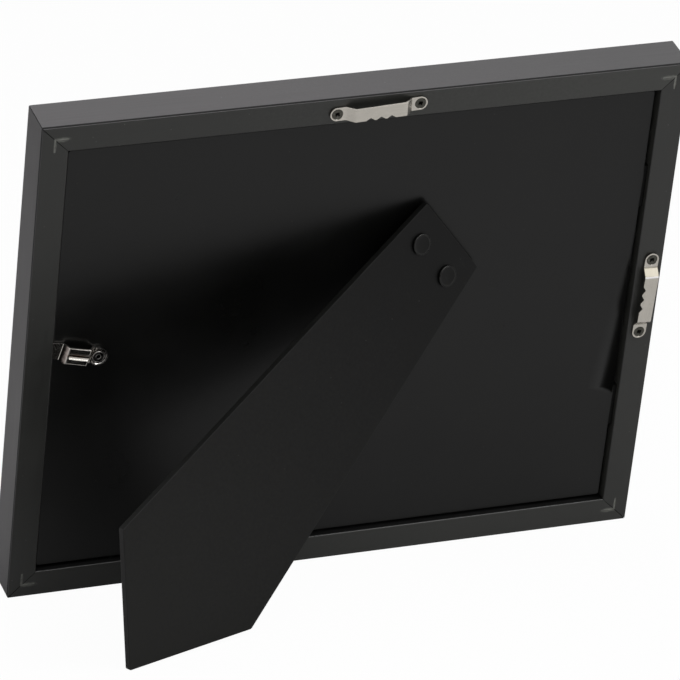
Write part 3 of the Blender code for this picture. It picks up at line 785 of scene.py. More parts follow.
@dataclass(frozen=True)
class Finish:
    """A paint, foil, board or metal, with the detail of its surface at real scale.

    Colours are linear. Places in the patterns follow the piece's own axes, so that a grain runs along it.
    """

    name: str
    colour: Colour
    roughness: float
    metallic: float = 0.0
    specular: float = 0.5
    grain: float = 0.0
    grain_run: GrainRun = GrainRun.ALONG_X
    grain_length: float = 18.0
    grain_across: float = 1400.0
    grain_contrast: float = 1.6
    grain_span: tuple[float, float] = (0.25, 0.75)
    grain_gloss: float = 0.04
    cloud: float = 0.15
    cloud_scale: float = 45.0
    rough_spread: float = 0.08
    speck_colour: Colour = (0.2, 0.2, 0.19)
    speck_amount: float = 0.0
    speck_scale: float = 700.0
    speck_raise: float = 0.6
    scratch_colour: Colour = (0.2, 0.2, 0.19)
    scratch_amount: float = 0.0
    scratch_cover: float = 0.6
    scratch_sink: float = 0.5
    bump: float = 0.15
    bump_depth: float = 0.00004
    bump_scale: float = 2500.0
    bump_detail: float = 2.0
    bump_in_grain: float = 0.35

    def swapped(self, graph: Graph, spot: bpy.types.NodeSocket) -> bpy.types.NodeSocket:
        """Turn the piece's place so that its grain runs along the first axis."""
        if self.grain_run is GrainRun.ALONG_X:
            return spot
        parts = graph.node("ShaderNodeSeparateXYZ", {"Vector": spot})
        values = {name: parts.outputs[source] for name, source in zip("XYZ", self.grain_run.value)}
        return graph.node("ShaderNodeCombineXYZ", values).outputs[0]

    def paint(self, place: Matrix, patches: Sequence[Patch] = ()) -> bpy.types.Material:
        """Build the material.

        Args:
            place: Matrix from the piece's own axes to the standing frame.
            patches: Patches where the colour changes.

        Returns:
            The new material.
        """
        material, graph, shader = open_material(self.name)
        inverse = place.inverted()
        spot = graph.node("ShaderNodeMapping", {
            "Vector": graph.node("ShaderNodeTexCoord").outputs["Object"],
            "Location": inverse.to_translation(), "Rotation": inverse.to_euler(),
        }).outputs[0]

        cloud = Effects.place(graph, Effect.MOTTLE, {"Vector": spot, "Scale": self.cloud_scale})
        height = fine = Effects.place(
            graph, Effect.MOTTLE, {"Vector": spot, "Scale": self.bump_scale, "Detail": self.bump_detail}
        )
        tone = graph.mix(cloud, wide(self.colour, 1 - self.cloud), wide(self.colour, 1 + self.cloud))
        roughness = graph.spread(
            cloud, 0.0, 1.0, self.roughness - self.rough_spread, self.roughness + self.rough_spread
        )
        if self.grain:
            lines = Effects.place(graph, Effect.GRAIN, {
                "Vector": self.swapped(graph, spot), "Length Scale": self.grain_length,
                "Across Scale": self.grain_across, "Contrast": self.grain_contrast,
            })
            scaled = graph.vector("SCALE", tone)
            graph.feed(
                scaled.inputs["Scale"], graph.spread(lines, *self.grain_span, 1 - self.grain, 1 + self.grain)
            )
            tone = scaled.outputs[0]
            gloss = graph.spread(lines, *self.grain_span, -self.grain_gloss, self.grain_gloss)
            roughness = graph.math("ADD", roughness, gloss)
            height = graph.math("ADD", graph.math("MULTIPLY", fine, self.bump_in_grain), lines)
        if self.speck_amount:
            mask = Effects.place(graph, Effect.SPECKS, {
                "Vector": spot, "Scale": self.speck_scale, "Amount": self.speck_amount,
            })
            tone = graph.mix(mask, tone, wide(self.speck_colour))
            height = graph.math("ADD", height, graph.math("MULTIPLY", mask, self.speck_raise))
        if self.scratch_amount:
            mask = Effects.place(graph, Effect.SCRATCHES, {"Vector": spot, "Amount": self.scratch_amount})
            cover = graph.math("MULTIPLY", mask, self.scratch_cover)
            tone = graph.mix(cover, tone, wide(self.scratch_colour))
            height = graph.math("SUBTRACT", height, graph.math("MULTIPLY", mask, self.scratch_sink))
        for patch in patches:
            mask = Effects.place(
                graph, Effect.RUBBED, {"Vector": spot, "Centre": patch.middle, "Half": patch.half}
            )
            tone = graph.mix(mask, tone, wide(patch.colour))
        graph.feed(shader.inputs["Base Color"], tone)
        graph.feed(shader.inputs["Roughness"], roughness)
        graph.feed(shader.inputs["Metallic"], self.metallic)
        graph.feed(shader.inputs["Specular IOR Level"], self.specular)
        relief = graph.node("ShaderNodeBump", {
            "Height": height, "Strength": self.bump, "Distance": self.bump_depth,
        })
        graph.feed(shader.inputs["Normal"], relief.outputs[0])
        return material


@dataclass(frozen=True)
class PaneGlass:
    """Clear float glass with light smears."""

    name: str = "clear_pane"
    tint: Colour = (0.975, 0.985, 0.98)
    smear_scale: float = 35.0
    smear_tone: float = 0.98
    smear_start: float = 0.3
    roughness: tuple[float, float] = (0.01, 0.035)
    bending: float = 1.5

    def paint(self) -> bpy.types.Material:
        """Build the glass."""
        material, graph, shader = open_material(self.name)
        spot = graph.node("ShaderNodeTexCoord").outputs["Object"]
        smear = Effects.place(graph, Effect.MOTTLE, {"Vector": spot, "Scale": self.smear_scale})
        tone = graph.mix(smear, wide(self.tint, self.smear_tone), wide(self.tint))
        graph.feed(shader.inputs["Base Color"], tone)
        graph.feed(shader.inputs["Roughness"], graph.spread(smear, self.smear_start, 1.0, *self.roughness))
        graph.feed(shader.inputs["Transmission Weight"], 1.0)
        graph.feed(shader.inputs["IOR"], self.bending)
        return material


RAIL_FOIL = Finish(
    "rail_foil", (0.0775, 0.0735, 0.0765), 0.46, specular=0.4, grain=0.10, cloud=0.05, cloud_scale=22.0,
    rough_spread=0.04, speck_amount=0.012, speck_colour=(0.16, 0.16, 0.16), bump=0.25, bump_depth=0.00003,
)
RAIL_PAINT = Finish(
    "rail_paint", (0.012, 0.0123, 0.0105), 0.42, specular=0.5, grain=0.12, grain_length=25.0,
    grain_across=700.0, cloud=0.18, cloud_scale=38.0, speck_amount=0.02, speck_colour=(0.05, 0.05, 0.045),
    bump=0.3,
)
# Inner wall lighter than the rear paint, as painted light in the deep gap
RAIL_WALL_PAINTED_LIGHT = Finish("rail_inner_wall_painted_light", (0.026, 0.026, 0.023), 0.6, specular=0.3, cloud=0.25, bump=0.3)
# Dark foil end and mitre joints; on the bottom rail's inner wall it stands as painted shade
FOIL_END_AND_WALL_SHADE = Finish("foil_end_and_wall_shade", (0.004, 0.004, 0.004), 0.6, specular=0.12, cloud=0.3, bump=0.3)
RAIL_RUB = Finish(
    "rail_rubbed_edge", (0.010, 0.010, 0.009), 0.42, specular=0.5, cloud=0.4, cloud_scale=160.0, bump=0.4,
    speck_amount=0.05, speck_colour=(0.07, 0.067, 0.06), speck_scale=1400.0,
)
BOARD_BLACK = Finish(
    "board_black", (0.0021, 0.0021, 0.0019), 0.30, specular=0.31, cloud=0.3, cloud_scale=26.0,
    rough_spread=0.04, speck_amount=0.006, speck_colour=(0.02, 0.02, 0.018), scratch_amount=0.36,
    scratch_colour=(0.006, 0.006, 0.0055), bump=0.12, bump_depth=0.00003, bump_scale=1800.0,
)
STRUT_BLACK = Finish(
    "strut_black", (0.0006, 0.0006, 0.0005), 0.42, specular=0.17, cloud=0.25, cloud_scale=30.0,
    rough_spread=0.05, speck_amount=0.008, speck_colour=(0.035, 0.035, 0.033), scratch_amount=0.34,
    scratch_colour=(0.012, 0.012, 0.011), bump=0.16, bump_depth=0.00003, bump_scale=1900.0,
)
# Lighter than the strut's black, as a painted highlight on its eased edges
STRUT_EDGE_HIGHLIGHT = Finish(
    "strut_painted_edge_highlight", (0.004, 0.004, 0.0036), 0.42, specular=0.2, cloud=0.8, cloud_scale=320.0,
    bump=0.3,
)
TOE_EDGE = Finish(
    "strut_toe_edge", (0.013, 0.0125, 0.0125), 0.6, specular=0.2, cloud=0.3, cloud_scale=200.0, bump=0.4,
)
# Dark cut edges of the board and strut; on the board's two tabs it stands as painted shade in the gap
CUT_EDGE_AND_TAB_SHADE = Finish(
    "board_cut_edge_and_tab_shade", (0.0035, 0.0035, 0.0032), 0.6, specular=0.12, grain=0.4, grain_run=GrainRun.ALONG_Z,
    grain_length=300.0, grain_across=2200.0, cloud=0.25, cloud_scale=140.0, bump=0.5, bump_depth=0.00008,
)
# Black steel of the hinge and rivets; in the screws' cross recesses it stands as painted shade
BLACK_STEEL_AND_RECESS_SHADE = Finish(
    "black_steel", (0.003, 0.003, 0.0028), 0.45, specular=0.15, cloud=0.25, cloud_scale=90.0,
    scratch_amount=0.4, scratch_colour=(0.02, 0.02, 0.019), speck_amount=0.015, speck_scale=1500.0,
    speck_colour=(0.02, 0.02, 0.019), bump=0.15,
)
# Lighter, shinier rim round each strut rivet's head, as a painted highlight
RIVET_RIM_HIGHLIGHT = Finish(
    "rivet_rim_painted_highlight", (0.022, 0.022, 0.021), 0.3, metallic=0.6, specular=0.3, cloud=0.5, cloud_scale=500.0,
    bump=0.2,
)
NICKEL = Finish(
    "nickel_plate", (0.54, 0.51, 0.46), 0.2, metallic=1.0, grain=0.05, grain_length=60.0,
    grain_across=4200.0, cloud=0.07, cloud_scale=150.0, rough_spread=0.06, scratch_amount=0.42,
    scratch_colour=(0.3, 0.28, 0.25), speck_amount=0.02, speck_scale=1800.0,
    speck_colour=(0.22, 0.2, 0.18), bump=0.18, bump_depth=0.00002,
)
# Dark nickel on the catch's slope as a painted dark reflection, with a painted highlight near its top
NICKEL_PAINTED_DARK_REFLECTION = Finish(
    "nickel_painted_dark_reflection", (0.022, 0.019, 0.017), 0.25, metallic=1.0, cloud=0.6, cloud_scale=260.0,
    rough_spread=0.06, scratch_amount=0.3, scratch_colour=(0.1, 0.09, 0.08), bump=0.1, bump_depth=0.00002,
)
# Warmer, rougher nickel on the side hanger's upper ramp, as painted light
NICKEL_RAMP_PAINTED_LIGHT = Finish(
    "nickel_ramp_painted_light", (0.37, 0.345, 0.285), 0.4, metallic=1.0, cloud=0.06, cloud_scale=300.0,
    rough_spread=0.04, scratch_amount=0.4, scratch_colour=(0.3, 0.28, 0.22), bump=0.1, bump_depth=0.00002,
)
NICKEL_GLINT = Finish(
    "nickel_glint", (0.96, 0.94, 0.93), 0.4, metallic=0.2, cloud=0.05, cloud_scale=500.0, bump=0.1,
)
# Light edge lines on the catch's raised block, as a painted highlight
NICKEL_EDGE_HIGHLIGHT = Finish(
    "nickel_painted_edge_highlight", (0.62, 0.58, 0.54), 0.45, metallic=0.1, cloud=0.4, cloud_scale=700.0, bump=0.2,
)
BRIGHT_NICKEL = Finish(
    "bright_nickel", (0.60, 0.57, 0.53), 0.16, metallic=1.0, cloud=0.05, cloud_scale=200.0,
    rough_spread=0.04, scratch_amount=0.4, scratch_colour=(0.35, 0.33, 0.3), bump=0.08, bump_depth=0.00002,
)
# Darker nickel of the eyelet; on the rim round the catch's end it stands as painted shade, with a painted
# glint
EYELET_NICKEL_AND_RIM_SHADE = Finish(
    "eyelet_nickel_and_rim_shade", (0.24, 0.23, 0.22), 0.2, metallic=1.0, cloud=0.3, cloud_scale=500.0, bump=0.1,
)
SCREW_BLACK = Finish(
    "screw_black", (0.062, 0.060, 0.049), 0.35, metallic=0.6, cloud=0.35, cloud_scale=400.0,
    rough_spread=0.1, scratch_amount=0.5, scratch_colour=(0.16, 0.16, 0.14), bump=0.2,
)
NAIL_SCUFFED = Finish(
    "nail_scuffed", (0.17, 0.172, 0.155), 0.45, metallic=0.3, cloud=0.5, cloud_scale=420.0,
    rough_spread=0.12, speck_amount=0.3, speck_scale=1600.0, speck_colour=(0.02, 0.02, 0.018), bump=0.5,
)
INSERT_PAPER = Finish(
    "insert_paper", (0.80, 0.79, 0.76), 0.85, specular=0.2, cloud=0.015, cloud_scale=80.0,
    rough_spread=0.03, speck_amount=0.03, speck_scale=1100.0, speck_colour=(0.72, 0.70, 0.66), bump=0.25,
    bump_depth=0.00003,
)


@dataclass(frozen=True)
class FrameSizes:
    """Outer sizes of the frame, the section of its moulding, and the board with its two tabs."""

    width: float = 0.280
    height: float = 0.229
    back_width: float = 0.0116
    depth: float = 0.0196
    lip: float = 0.0064
    rabbet_depth: float = 0.0087
    board_recess: float = 0.0025
    board_thickness: float = 0.003
    panel_inset: float = 0.013
    tab_width: float = 0.020
    tab_reach: float = 0.0022
    tab_spacing: float = 0.110

    def tab_middles(self) -> list[float]:
        """Work out how high up the frame each tab's middle is."""
        return [self.height / 2 + side * self.tab_spacing / 2 for side in SIDES]


@dataclass(frozen=True)
class HangerPlan:
    """Where one hanger is fixed on the rails' rear face, and with what."""

    name: str
    rail: str
    spot: tuple[float, float]
    turn: float
    screws: tuple[str, str]
    # Finishes of the upper ramp and of its crease; on the side hanger they are painted light and a painted
    # glint
    ramp: Finish = NICKEL
    glint: Finish = NICKEL
    hole_spacing: float = 0.0359
    screw_radius: float = 0.0011
    screw_length: float = 0.009

    def matrix(self) -> Matrix:
        """Build the matrix from the hanger's axes to the rear view."""
        return shift(*self.spot) @ twist(self.turn)

    def screw_spot(self, side: int) -> Matrix:
        """Build the move from the hanger's middle to the screw at one end."""
        return shift(side * self.hole_spacing / 2)


HANGERS = (
    HangerPlan(
        "hanger_top", "rail_top", (0.1429, 0.2232), 2.2, ("hanger_top_screw_left", "hanger_top_screw_right"),
    ),
    HangerPlan(
        "hanger_side", "rail_right", (0.2742, 0.1163), -92.1,
        ("hanger_side_screw_upper", "hanger_side_screw_lower"), NICKEL_RAMP_PAINTED_LIGHT, NICKEL_GLINT,
    ),
)


@dataclass(frozen=True)
class RivetPair:
    """Two rivets: how far each is from the middle and from the hinge's pin, and their shanks' radius."""

    aside: float
    drop: float
    shank: float

    def spot(self, side: int) -> Matrix:
        """Build the move from the pin's middle to one rivet."""
        return shift(side * self.aside, -self.drop)

    def drills(self, span: tuple[float, float], place: Matrix | None = None) -> list[bpy.types.Object]:
        """Make the drills for the holes of both rivets.

        Args:
            span: Heights of the drills' ends.
            place: Matrix from the hinge's axes to those of the drilled piece, or none if they are the same.

        Returns:
            The two drills.
        """
        origin = place or Matrix.Identity(4)
        return [
            Bench.rod("drill", self.shank + SEAT_GAP, span, place=origin @ self.spot(side)) for side in SIDES
        ]


STRUT_RIVETS = RivetPair(0.01075, 0.0067, 0.0015)
BOARD_RIVETS = RivetPair(0.009, 0.017, 0.0012)


@dataclass
class Moulding:
    """The four mitred rails, with the kerfs, holes and slots of what they hold."""

    sizes: FrameSizes
    view: RearView
    front_radius: float = 0.0007
    sight_chamfer: float = 0.0012
    seam_width: float = 0.00012
    foil_stop: float = 0.0015
    inner_ease: float = 0.0006
    lip_ease: float = 0.00022
    mitre_gap: float = 0.00024
    mitre_ease: float = 0.00005
    nail_inset: float = 0.0053
    nail_leg: float = 0.0062
    nail_thickness: float = 0.0008
    nail_depth: float = 0.0072
    nail_play: float = 0.00004
    scuff_on_long: tuple[float, float] = (0.0042, 0.0012)
    scuff_on_short: tuple[float, float] = (0.0038, 0.0007)
    scuff_depth: float = 0.001
    scuff_colour: Colour = (0.15, 0.155, 0.135)
    # Painted shade on the top rail's foil, and painted light on the rear paint of the top and bottom rails,
    # each growing towards the rail's right end as seen from behind
    foil_painted_shade: Patch = Patch((-0.15, 0.0, -0.01), (0.2, 0.2, 0.2), (0.062, 0.060, 0.062))
    top_paint_painted_light: Patch = Patch((-0.15, 0.006, 0.0), (0.2, 0.2, 0.2), (0.028, 0.0286, 0.0255))
    bottom_paint_painted_light: Patch = Patch((0.1, 0.006, 0.0), (0.2, 0.2, 0.2), (0.018, 0.0184, 0.016))
    catch_reach: float = 0.0234
    catch_thickness: float = 0.0008

    def carriers(self) -> dict[str, tuple[float, Matrix]]:
        """Work out each rail's length and place in the rear view.

        Returns:
            Length and matrix by the rail's name; along a rail x runs and y points inwards.
        """
        width, height = self.sizes.width, self.sizes.height
        spots = {
            "rail_bottom": (width, (width / 2, 0), 0),
            "rail_right": (height, (width, height / 2), 90),
            "rail_top": (width, (width / 2, height), 180),
            "rail_left": (height, (0, height / 2), -90),
        }
        return {name: (length, shift(*spot) @ twist(turn)) for name, (length, spot, turn) in spots.items()}

    def along(self, inward: float, level: float) -> PlaceTest:
        """Make a test for edges that run along the rail at one place of its section."""

        def test(one: Vector, other: Vector) -> bool:
            """Say whether an edge lies there."""
            return all(
                abs(point.y - inward) < TOLERANCE and abs(point.z - level) < TOLERANCE
                for point in (one, other)
            )

        return test

    def shape(self, name: str, length: float) -> bpy.types.Object:
        """Model one rail: its section first, then its mitred ends.

        Args:
            name: The rail's name.
            length: Its length along the outer side.

        Returns:
            The rail in its own axes.
        """
        size = self.sizes
        sight = size.back_width + size.lip
        rail = Bench.block(name, (-length / 2, 0, -size.depth), (length / 2, sight, 0))
        Bench.combine(rail, Cut.AWAY, Bench.block(
            "rabbet", (-length, size.back_width, -size.rabbet_depth), (length, sight + OVERRUN, OVERRUN)
        ))
        rounds = (
            ((0, -size.depth), self.front_radius, 5),
            ((sight, -size.depth), self.sight_chamfer, 2),
            ((0, 0), self.seam_width, 1),
            ((size.back_width, 0), self.inner_ease, 4),
            ((sight, -size.rabbet_depth), self.lip_ease, 2),
        )
        with Bench.editing(rail, Element.EDGE):
            for (inward, level), radius, segments in rounds:
                Bench.choose_edges(rail, self.along(inward, level))
                Bench.round_edges(radius, segments)
            Bench.choose_all()
            bpy.ops.mesh.bisect(plane_co=(0, 0, -self.foil_stop), plane_no=(0, 0, 1))
            pull_back = self.mitre_gap / math.sqrt(2)
            end, slant = length / 2 - pull_back, 1 - pull_back / sight
            for side in SIDES:
                Bench.choose_all()
                bpy.ops.mesh.bisect(
                    plane_co=(side * end, 0, 0), plane_no=(side, slant, 0), use_fill=True, clear_outer=True,
                )
            Bench.choose_edges(rail, lambda a, b: a.x * b.x > 0 and all(
                abs(abs(point.x) + slant * point.y - end) < TOLERANCE for point in (a, b)
            ))
            Bench.round_edges(self.mitre_ease, 1)
        return rail

    def kerfs(self) -> Iterator[bpy.types.Object]:
        """Make the two slots of each corner's nail."""
        low = self.nail_inset - self.nail_play
        thick = self.nail_thickness + 2 * self.nail_play
        far = self.nail_inset + self.nail_leg + self.nail_play
        for right in (False, True):
            for top in (False, True):
                for long_x, long_y in ((far, low + thick), (low + thick, far)):
                    ends_x = sorted(self.sizes.width - x if right else x for x in (low, long_x))
                    ends_y = sorted(self.sizes.height - y if top else y for y in (low, long_y))
                    yield Bench.block(
                        "kerf", (ends_x[0], ends_y[0], -self.nail_depth - SEAT_GAP),
                        (ends_x[1], ends_y[1], OVERRUN),
                    )

    def holes(self, hanger: HangerPlan) -> Iterator[bpy.types.Object]:
        """Make the pilot holes under one hanger."""
        for side in SIDES:
            yield Bench.rod(
                "drill", hanger.screw_radius + SEAT_GAP, (-hanger.screw_length - SEAT_GAP, OVERRUN),
                place=hanger.matrix() @ hanger.screw_spot(side),
            )

    def catch_slot(self) -> bpy.types.Object:
        """Make the slot that the catch's tongue turns through."""
        across, up = self.view.catch_spot
        inner = self.sizes.back_width
        half = math.sqrt(self.catch_reach ** 2 - (across - inner) ** 2) + SEAT_GAP
        level = self.view.board_back
        return Bench.block(
            "catch_slot", (across - self.catch_reach - SEAT_GAP, up - half, level),
            (inner + OVERRUN, up + half, level + self.catch_thickness + 2 * SEAT_GAP),
        )

    def tab_slots(self) -> Iterator[bpy.types.Object]:
        """Make the slots of the board's two tabs."""
        size, back = self.sizes, self.view.board_back
        wall = size.width - size.back_width
        half = size.tab_width / 2 + SEAT_GAP
        for middle in size.tab_middles():
            yield Bench.block(
                "tab_slot", (wall - OVERRUN, middle - half, back - size.board_thickness - SEAT_GAP),
                (wall + size.tab_reach + SEAT_GAP, middle + half, back + SEAT_GAP),
            )

    def cutters(self, name: str) -> list[bpy.types.Object]:
        """List the solids that are cut from a rail.

        Args:
            name: The rail's name.

        Returns:
            New solids in the rear view.
        """
        tools = list(self.kerfs())
        if name == "rail_left":
            tools.append(self.catch_slot())
        if name == "rail_right":
            tools += self.tab_slots()
        for hanger in HANGERS:
            if hanger.rail == name:
                tools += self.holes(hanger)
        return tools

    def nail_scuffs(self, length: float) -> list[Patch]:
        """Place the rubbed paint over the nail leg at each end of a rail.

        Args:
            length: The rail's length.

        Returns:
            A patch for each end, in the rail's axes.
        """
        along = length / 2 - self.nail_inset - self.nail_leg / 2
        inward = self.nail_inset + self.nail_thickness / 2
        scuff = self.scuff_on_long if length > self.sizes.height else self.scuff_on_short
        half = (*scuff, self.scuff_depth)
        return [Patch((side * along, inward, 0.0), half, self.scuff_colour) for side in SIDES]

    def materials(self, name: str, length: float, place: Matrix) -> list[bpy.types.Material]:
        """Paint a rail's materials: foil, paint on the back, inner wall, rubbed edge and the foil's end, some
        carrying painted light and painted shade.

        Args:
            name: The rail's name.
            length: Its length along the outer side.
            place: Matrix from its axes to the standing frame.

        Returns:
            Its materials.
        """
        # Painted shade on the top rail's foil and painted light on the rear paint of the top and bottom rails
        foil_patches = [self.foil_painted_shade] if name == "rail_top" else []
        paint_patches = {"rail_top": [self.top_paint_painted_light], "rail_bottom": [self.bottom_paint_painted_light]}.get(name, [])
        paint_patches += self.nail_scuffs(length)
        # The inner wall: lighter as painted light, and dark on the bottom rail as painted shade
        wall = FOIL_END_AND_WALL_SHADE if name == "rail_bottom" else RAIL_WALL_PAINTED_LIGHT
        return [
            RAIL_FOIL.paint(place, foil_patches), RAIL_PAINT.paint(place, paint_patches),
            wall.paint(place), RAIL_RUB.paint(place), FOIL_END_AND_WALL_SHADE.paint(place),
        ]

    def repaints(self) -> list[tuple[int, PlaceTest]]:
        """List where each of a rail's materials goes, in its own axes, the foil all over first."""
        inner = self.sizes.back_width
        deep = self.sizes.rabbet_depth + TOLERANCE
        rounded = self.inner_ease - TOLERANCE
        return [
            (0, lambda spot, normal: True),
            (1, lambda s, n: s.z > -deep and s.y > TOLERANCE and abs(n.z) + n.y > HALFWAY),
            # Inner wall: painted light on most rails, painted shade on the bottom rail
            (2, lambda s, n: -deep < s.z < -rounded and s.y > inner - TOLERANCE),
            (3, lambda s, n: s.z > -rounded and abs(s.y - inner) < rounded and n.z < FACING),
            (4, lambda s, n: s.z > -self.foil_stop and s.y < TOLERANCE and n.y < -FACING),
            (4, lambda s, n: abs(n.x) > HALFWAY and n.y > HALFWAY),
        ]

    def build(self) -> None:
        """Model, cut and dress the four rails."""
        view = self.view.matrix()
        for name, (length, place) in self.carriers().items():
            rail = self.shape(name + "_moulding", length)
            Bench.settle(rail, place)
            Bench.combine(rail, Cut.AWAY, *self.cutters(name))
            hand_over(
                rail, Body.FRAME, [name], view, self.materials(name, length, view @ place),
                self.repaints(), view=place.inverted(),
            )


@dataclass
class BackingBoard:
    """The black board in the rabbet, with its tabs and the holes of its rivets."""

    sizes: FrameSizes
    view: RearView
    corner: float = 0.0012
    ease: float = 0.0004
    left_reach: float = 0.0006
    eyelet_hole: float = 0.0018
    rivets: RivetPair = BOARD_RIVETS

    def build(self) -> None:
        """Model and dress the board."""
        size, place = self.sizes, self.view.matrix()
        inset, back = size.panel_inset, self.view.board_back
        front, right = back - size.board_thickness, size.width - inset
        board = Bench.block(
            "board_panel", (inset - self.left_reach, inset, front), (right, size.height - inset, back)
        )
        with Bench.editing(board, Element.EDGE):
            Bench.choose_edges(board, lambda a, b: abs(a.z - b.z) > size.board_thickness / 2)
            Bench.round_edges(self.corner, 3)
        for middle in size.tab_middles():
            Bench.combine(board, Cut.JOIN, Bench.block(
                "tab", (right - inset, middle - size.tab_width / 2, front),
                (size.width - size.back_width + size.tab_reach, middle + size.tab_width / 2, back),
            ))
        Bench.ease(board, self.ease)
        reach = size.board_thickness + size.board_recess + OVERRUN
        Bench.combine(
            board, Cut.AWAY, Bench.rod("drill", self.eyelet_hole, (-reach, reach), place=self.view.catch()),
            *self.rivets.drills((-reach, reach), place.inverted() @ self.view.hinge()),
        )
        # The drills can leave a triangle open
        with Bench.editing(board, Element.EDGE):
            Bench.choose_all()
            bpy.ops.mesh.fill_holes(sides=3)
        hand_over(
            board, Body.FRAME, ["backing_board"], place,
            [BOARD_BLACK.paint(place), CUT_EDGE_AND_TAB_SHADE.paint(place)],
            # Cut edges, and the two tabs, which are darkened as painted shade in the gap by the rail
            [(1, lambda spot, normal: abs(normal.z) < STEEP or spot.x > right)],
        )


@dataclass
class EaselStrut:
    """The flared strut and the two flat rivets that hold it to its hinge."""

    view: RearView
    overhang: float = 0.0067328
    top_width: float = 0.043
    flare: float = 6.83
    inner: float = 0.00165
    thickness: float = 0.003
    portrait_corner: float = 0.1904
    landscape_corner: float = 0.178
    toe_drop: float = 0.2279
    toe_offset: float = 0.0039
    toe_facing: float = 0.2
    corner: float = 0.0007
    ease: float = 0.0003
    rivets: RivetPair = STRUT_RIVETS
    head_radius: float = 0.0046
    head_height: float = 0.0009
    rim_width: float = 0.0006
    dish: float = 0.0002
    shank_end: float = 0.0004
    # Painted light: the strut's black grows lighter towards its foot
    painted_light_at_foot: Patch = Patch((0.0, -0.24, 0.0), (0.2, 0.2, 0.2), (0.0075, 0.0075, 0.0068))

    def outline(self) -> bpy.types.Object:
        """Shape the strut from a block: flare its sides, then draw its toe out.

        Returns:
            The strut in its own axes, x along the pin and y up the strut.
        """
        half = self.top_width / 2
        flare = math.tan(math.radians(self.flare))
        top, outer = self.overhang, self.inner + self.thickness
        low = top - self.landscape_corner
        spreads = (
            (1, self.landscape_corner * flare, 0.0),
            (-1, -self.portrait_corner * flare, self.landscape_corner - self.portrait_corner),
        )
        strut = Bench.block("strut_board", (-half, low, self.inner), (half, top, outer))
        with Bench.editing(strut, Element.POINT):
            for side, aside, down in spreads:
                Bench.choose_points(strut, lambda p, side=side: p.y < low + TOLERANCE and side * p.x > 0)
                bpy.ops.transform.translate(value=(aside, down, 0))
            bpy.ops.mesh.select_mode(type=Element.FACE.value)
            Bench.choose_faces(strut, lambda middle, normal: normal.y < -FACING)
            Bench.pull(0, 0, 0)
            toe = (self.toe_offset, top - self.toe_drop, 0)
            bpy.ops.transform.resize(value=(0, 0, 1), center_override=toe)
            Bench.choose_all()
            bpy.ops.mesh.remove_doubles(threshold=TOLERANCE)
            Bench.turn_outwards()
            bpy.ops.mesh.select_mode(type=Element.EDGE.value)
            Bench.choose_edges(strut, lambda a, b: abs(a.z - b.z) > self.thickness / 2)
            Bench.round_edges(self.corner, 3)
        return strut

    def rivet(self, side: int, name: str) -> None:
        """Turn one rivet with a raised rim round its flat head.

        Args:
            side: 1 to the right of the strut's middle, -1 to the left.
            name: The plain solid that it stands for.
        """
        shank, head, rim = self.rivets.shank, self.head_radius, self.rim_width
        under = self.inner + self.thickness + SEAT_GAP
        top = under + self.head_height
        edge = self.head_height / 3
        rings = (
            (shank, self.shank_end), (shank, under), (head - edge / 2, under), (head, under + edge),
            (head, top - edge), (head - edge / 3, top - edge / 3), (head - edge, top), (head - rim, top),
            (head - 1.5 * rim, top - self.dish), (rim, top - self.dish),
        )
        place = self.view.strut()
        rivet = Bench.turned(name + "_head", rings, DISC_SIDES, self.rivets.spot(side))
        hand_over(
            rivet, Body.STRUT, [name], place,
            [BLACK_STEEL_AND_RECESS_SHADE.paint(place), RIVET_RIM_HIGHLIGHT.paint(place)],
            # The rim and dish take the painted highlight
            [(1, lambda spot, normal: spot.z > under and normal.z < LEVEL)], TURNED_SHADING,
        )

    def build(self) -> None:
        """Model and dress the strut and its rivets."""
        strut = self.outline()
        Bench.ease(strut, self.ease)
        Bench.combine(strut, Cut.AWAY, *self.rivets.drills((-self.thickness, 3 * self.thickness)))
        place = self.view.strut()
        hand_over(
            strut, Body.STRUT, ["easel_strut"], place,
            [
                STRUT_BLACK.paint(place, [self.painted_light_at_foot]), CUT_EDGE_AND_TAB_SHADE.paint(place), STRUT_EDGE_HIGHLIGHT.paint(place),
                TOE_EDGE.paint(place),
            ],
            [
                (1, lambda spot, normal: abs(normal.z) < STEEP),
                # Eased edges facing out, lighter as a painted highlight
                (2, lambda spot, normal: STEEP < normal.z < LEVEL),
                (3, lambda spot, normal: abs(normal.z) < STEEP and normal.y < -self.toe_facing),
            ],
        )
        for side, name in zip(SIDES, ("strut_rivet_left", "strut_rivet_right")):
            self.rivet(side, name)


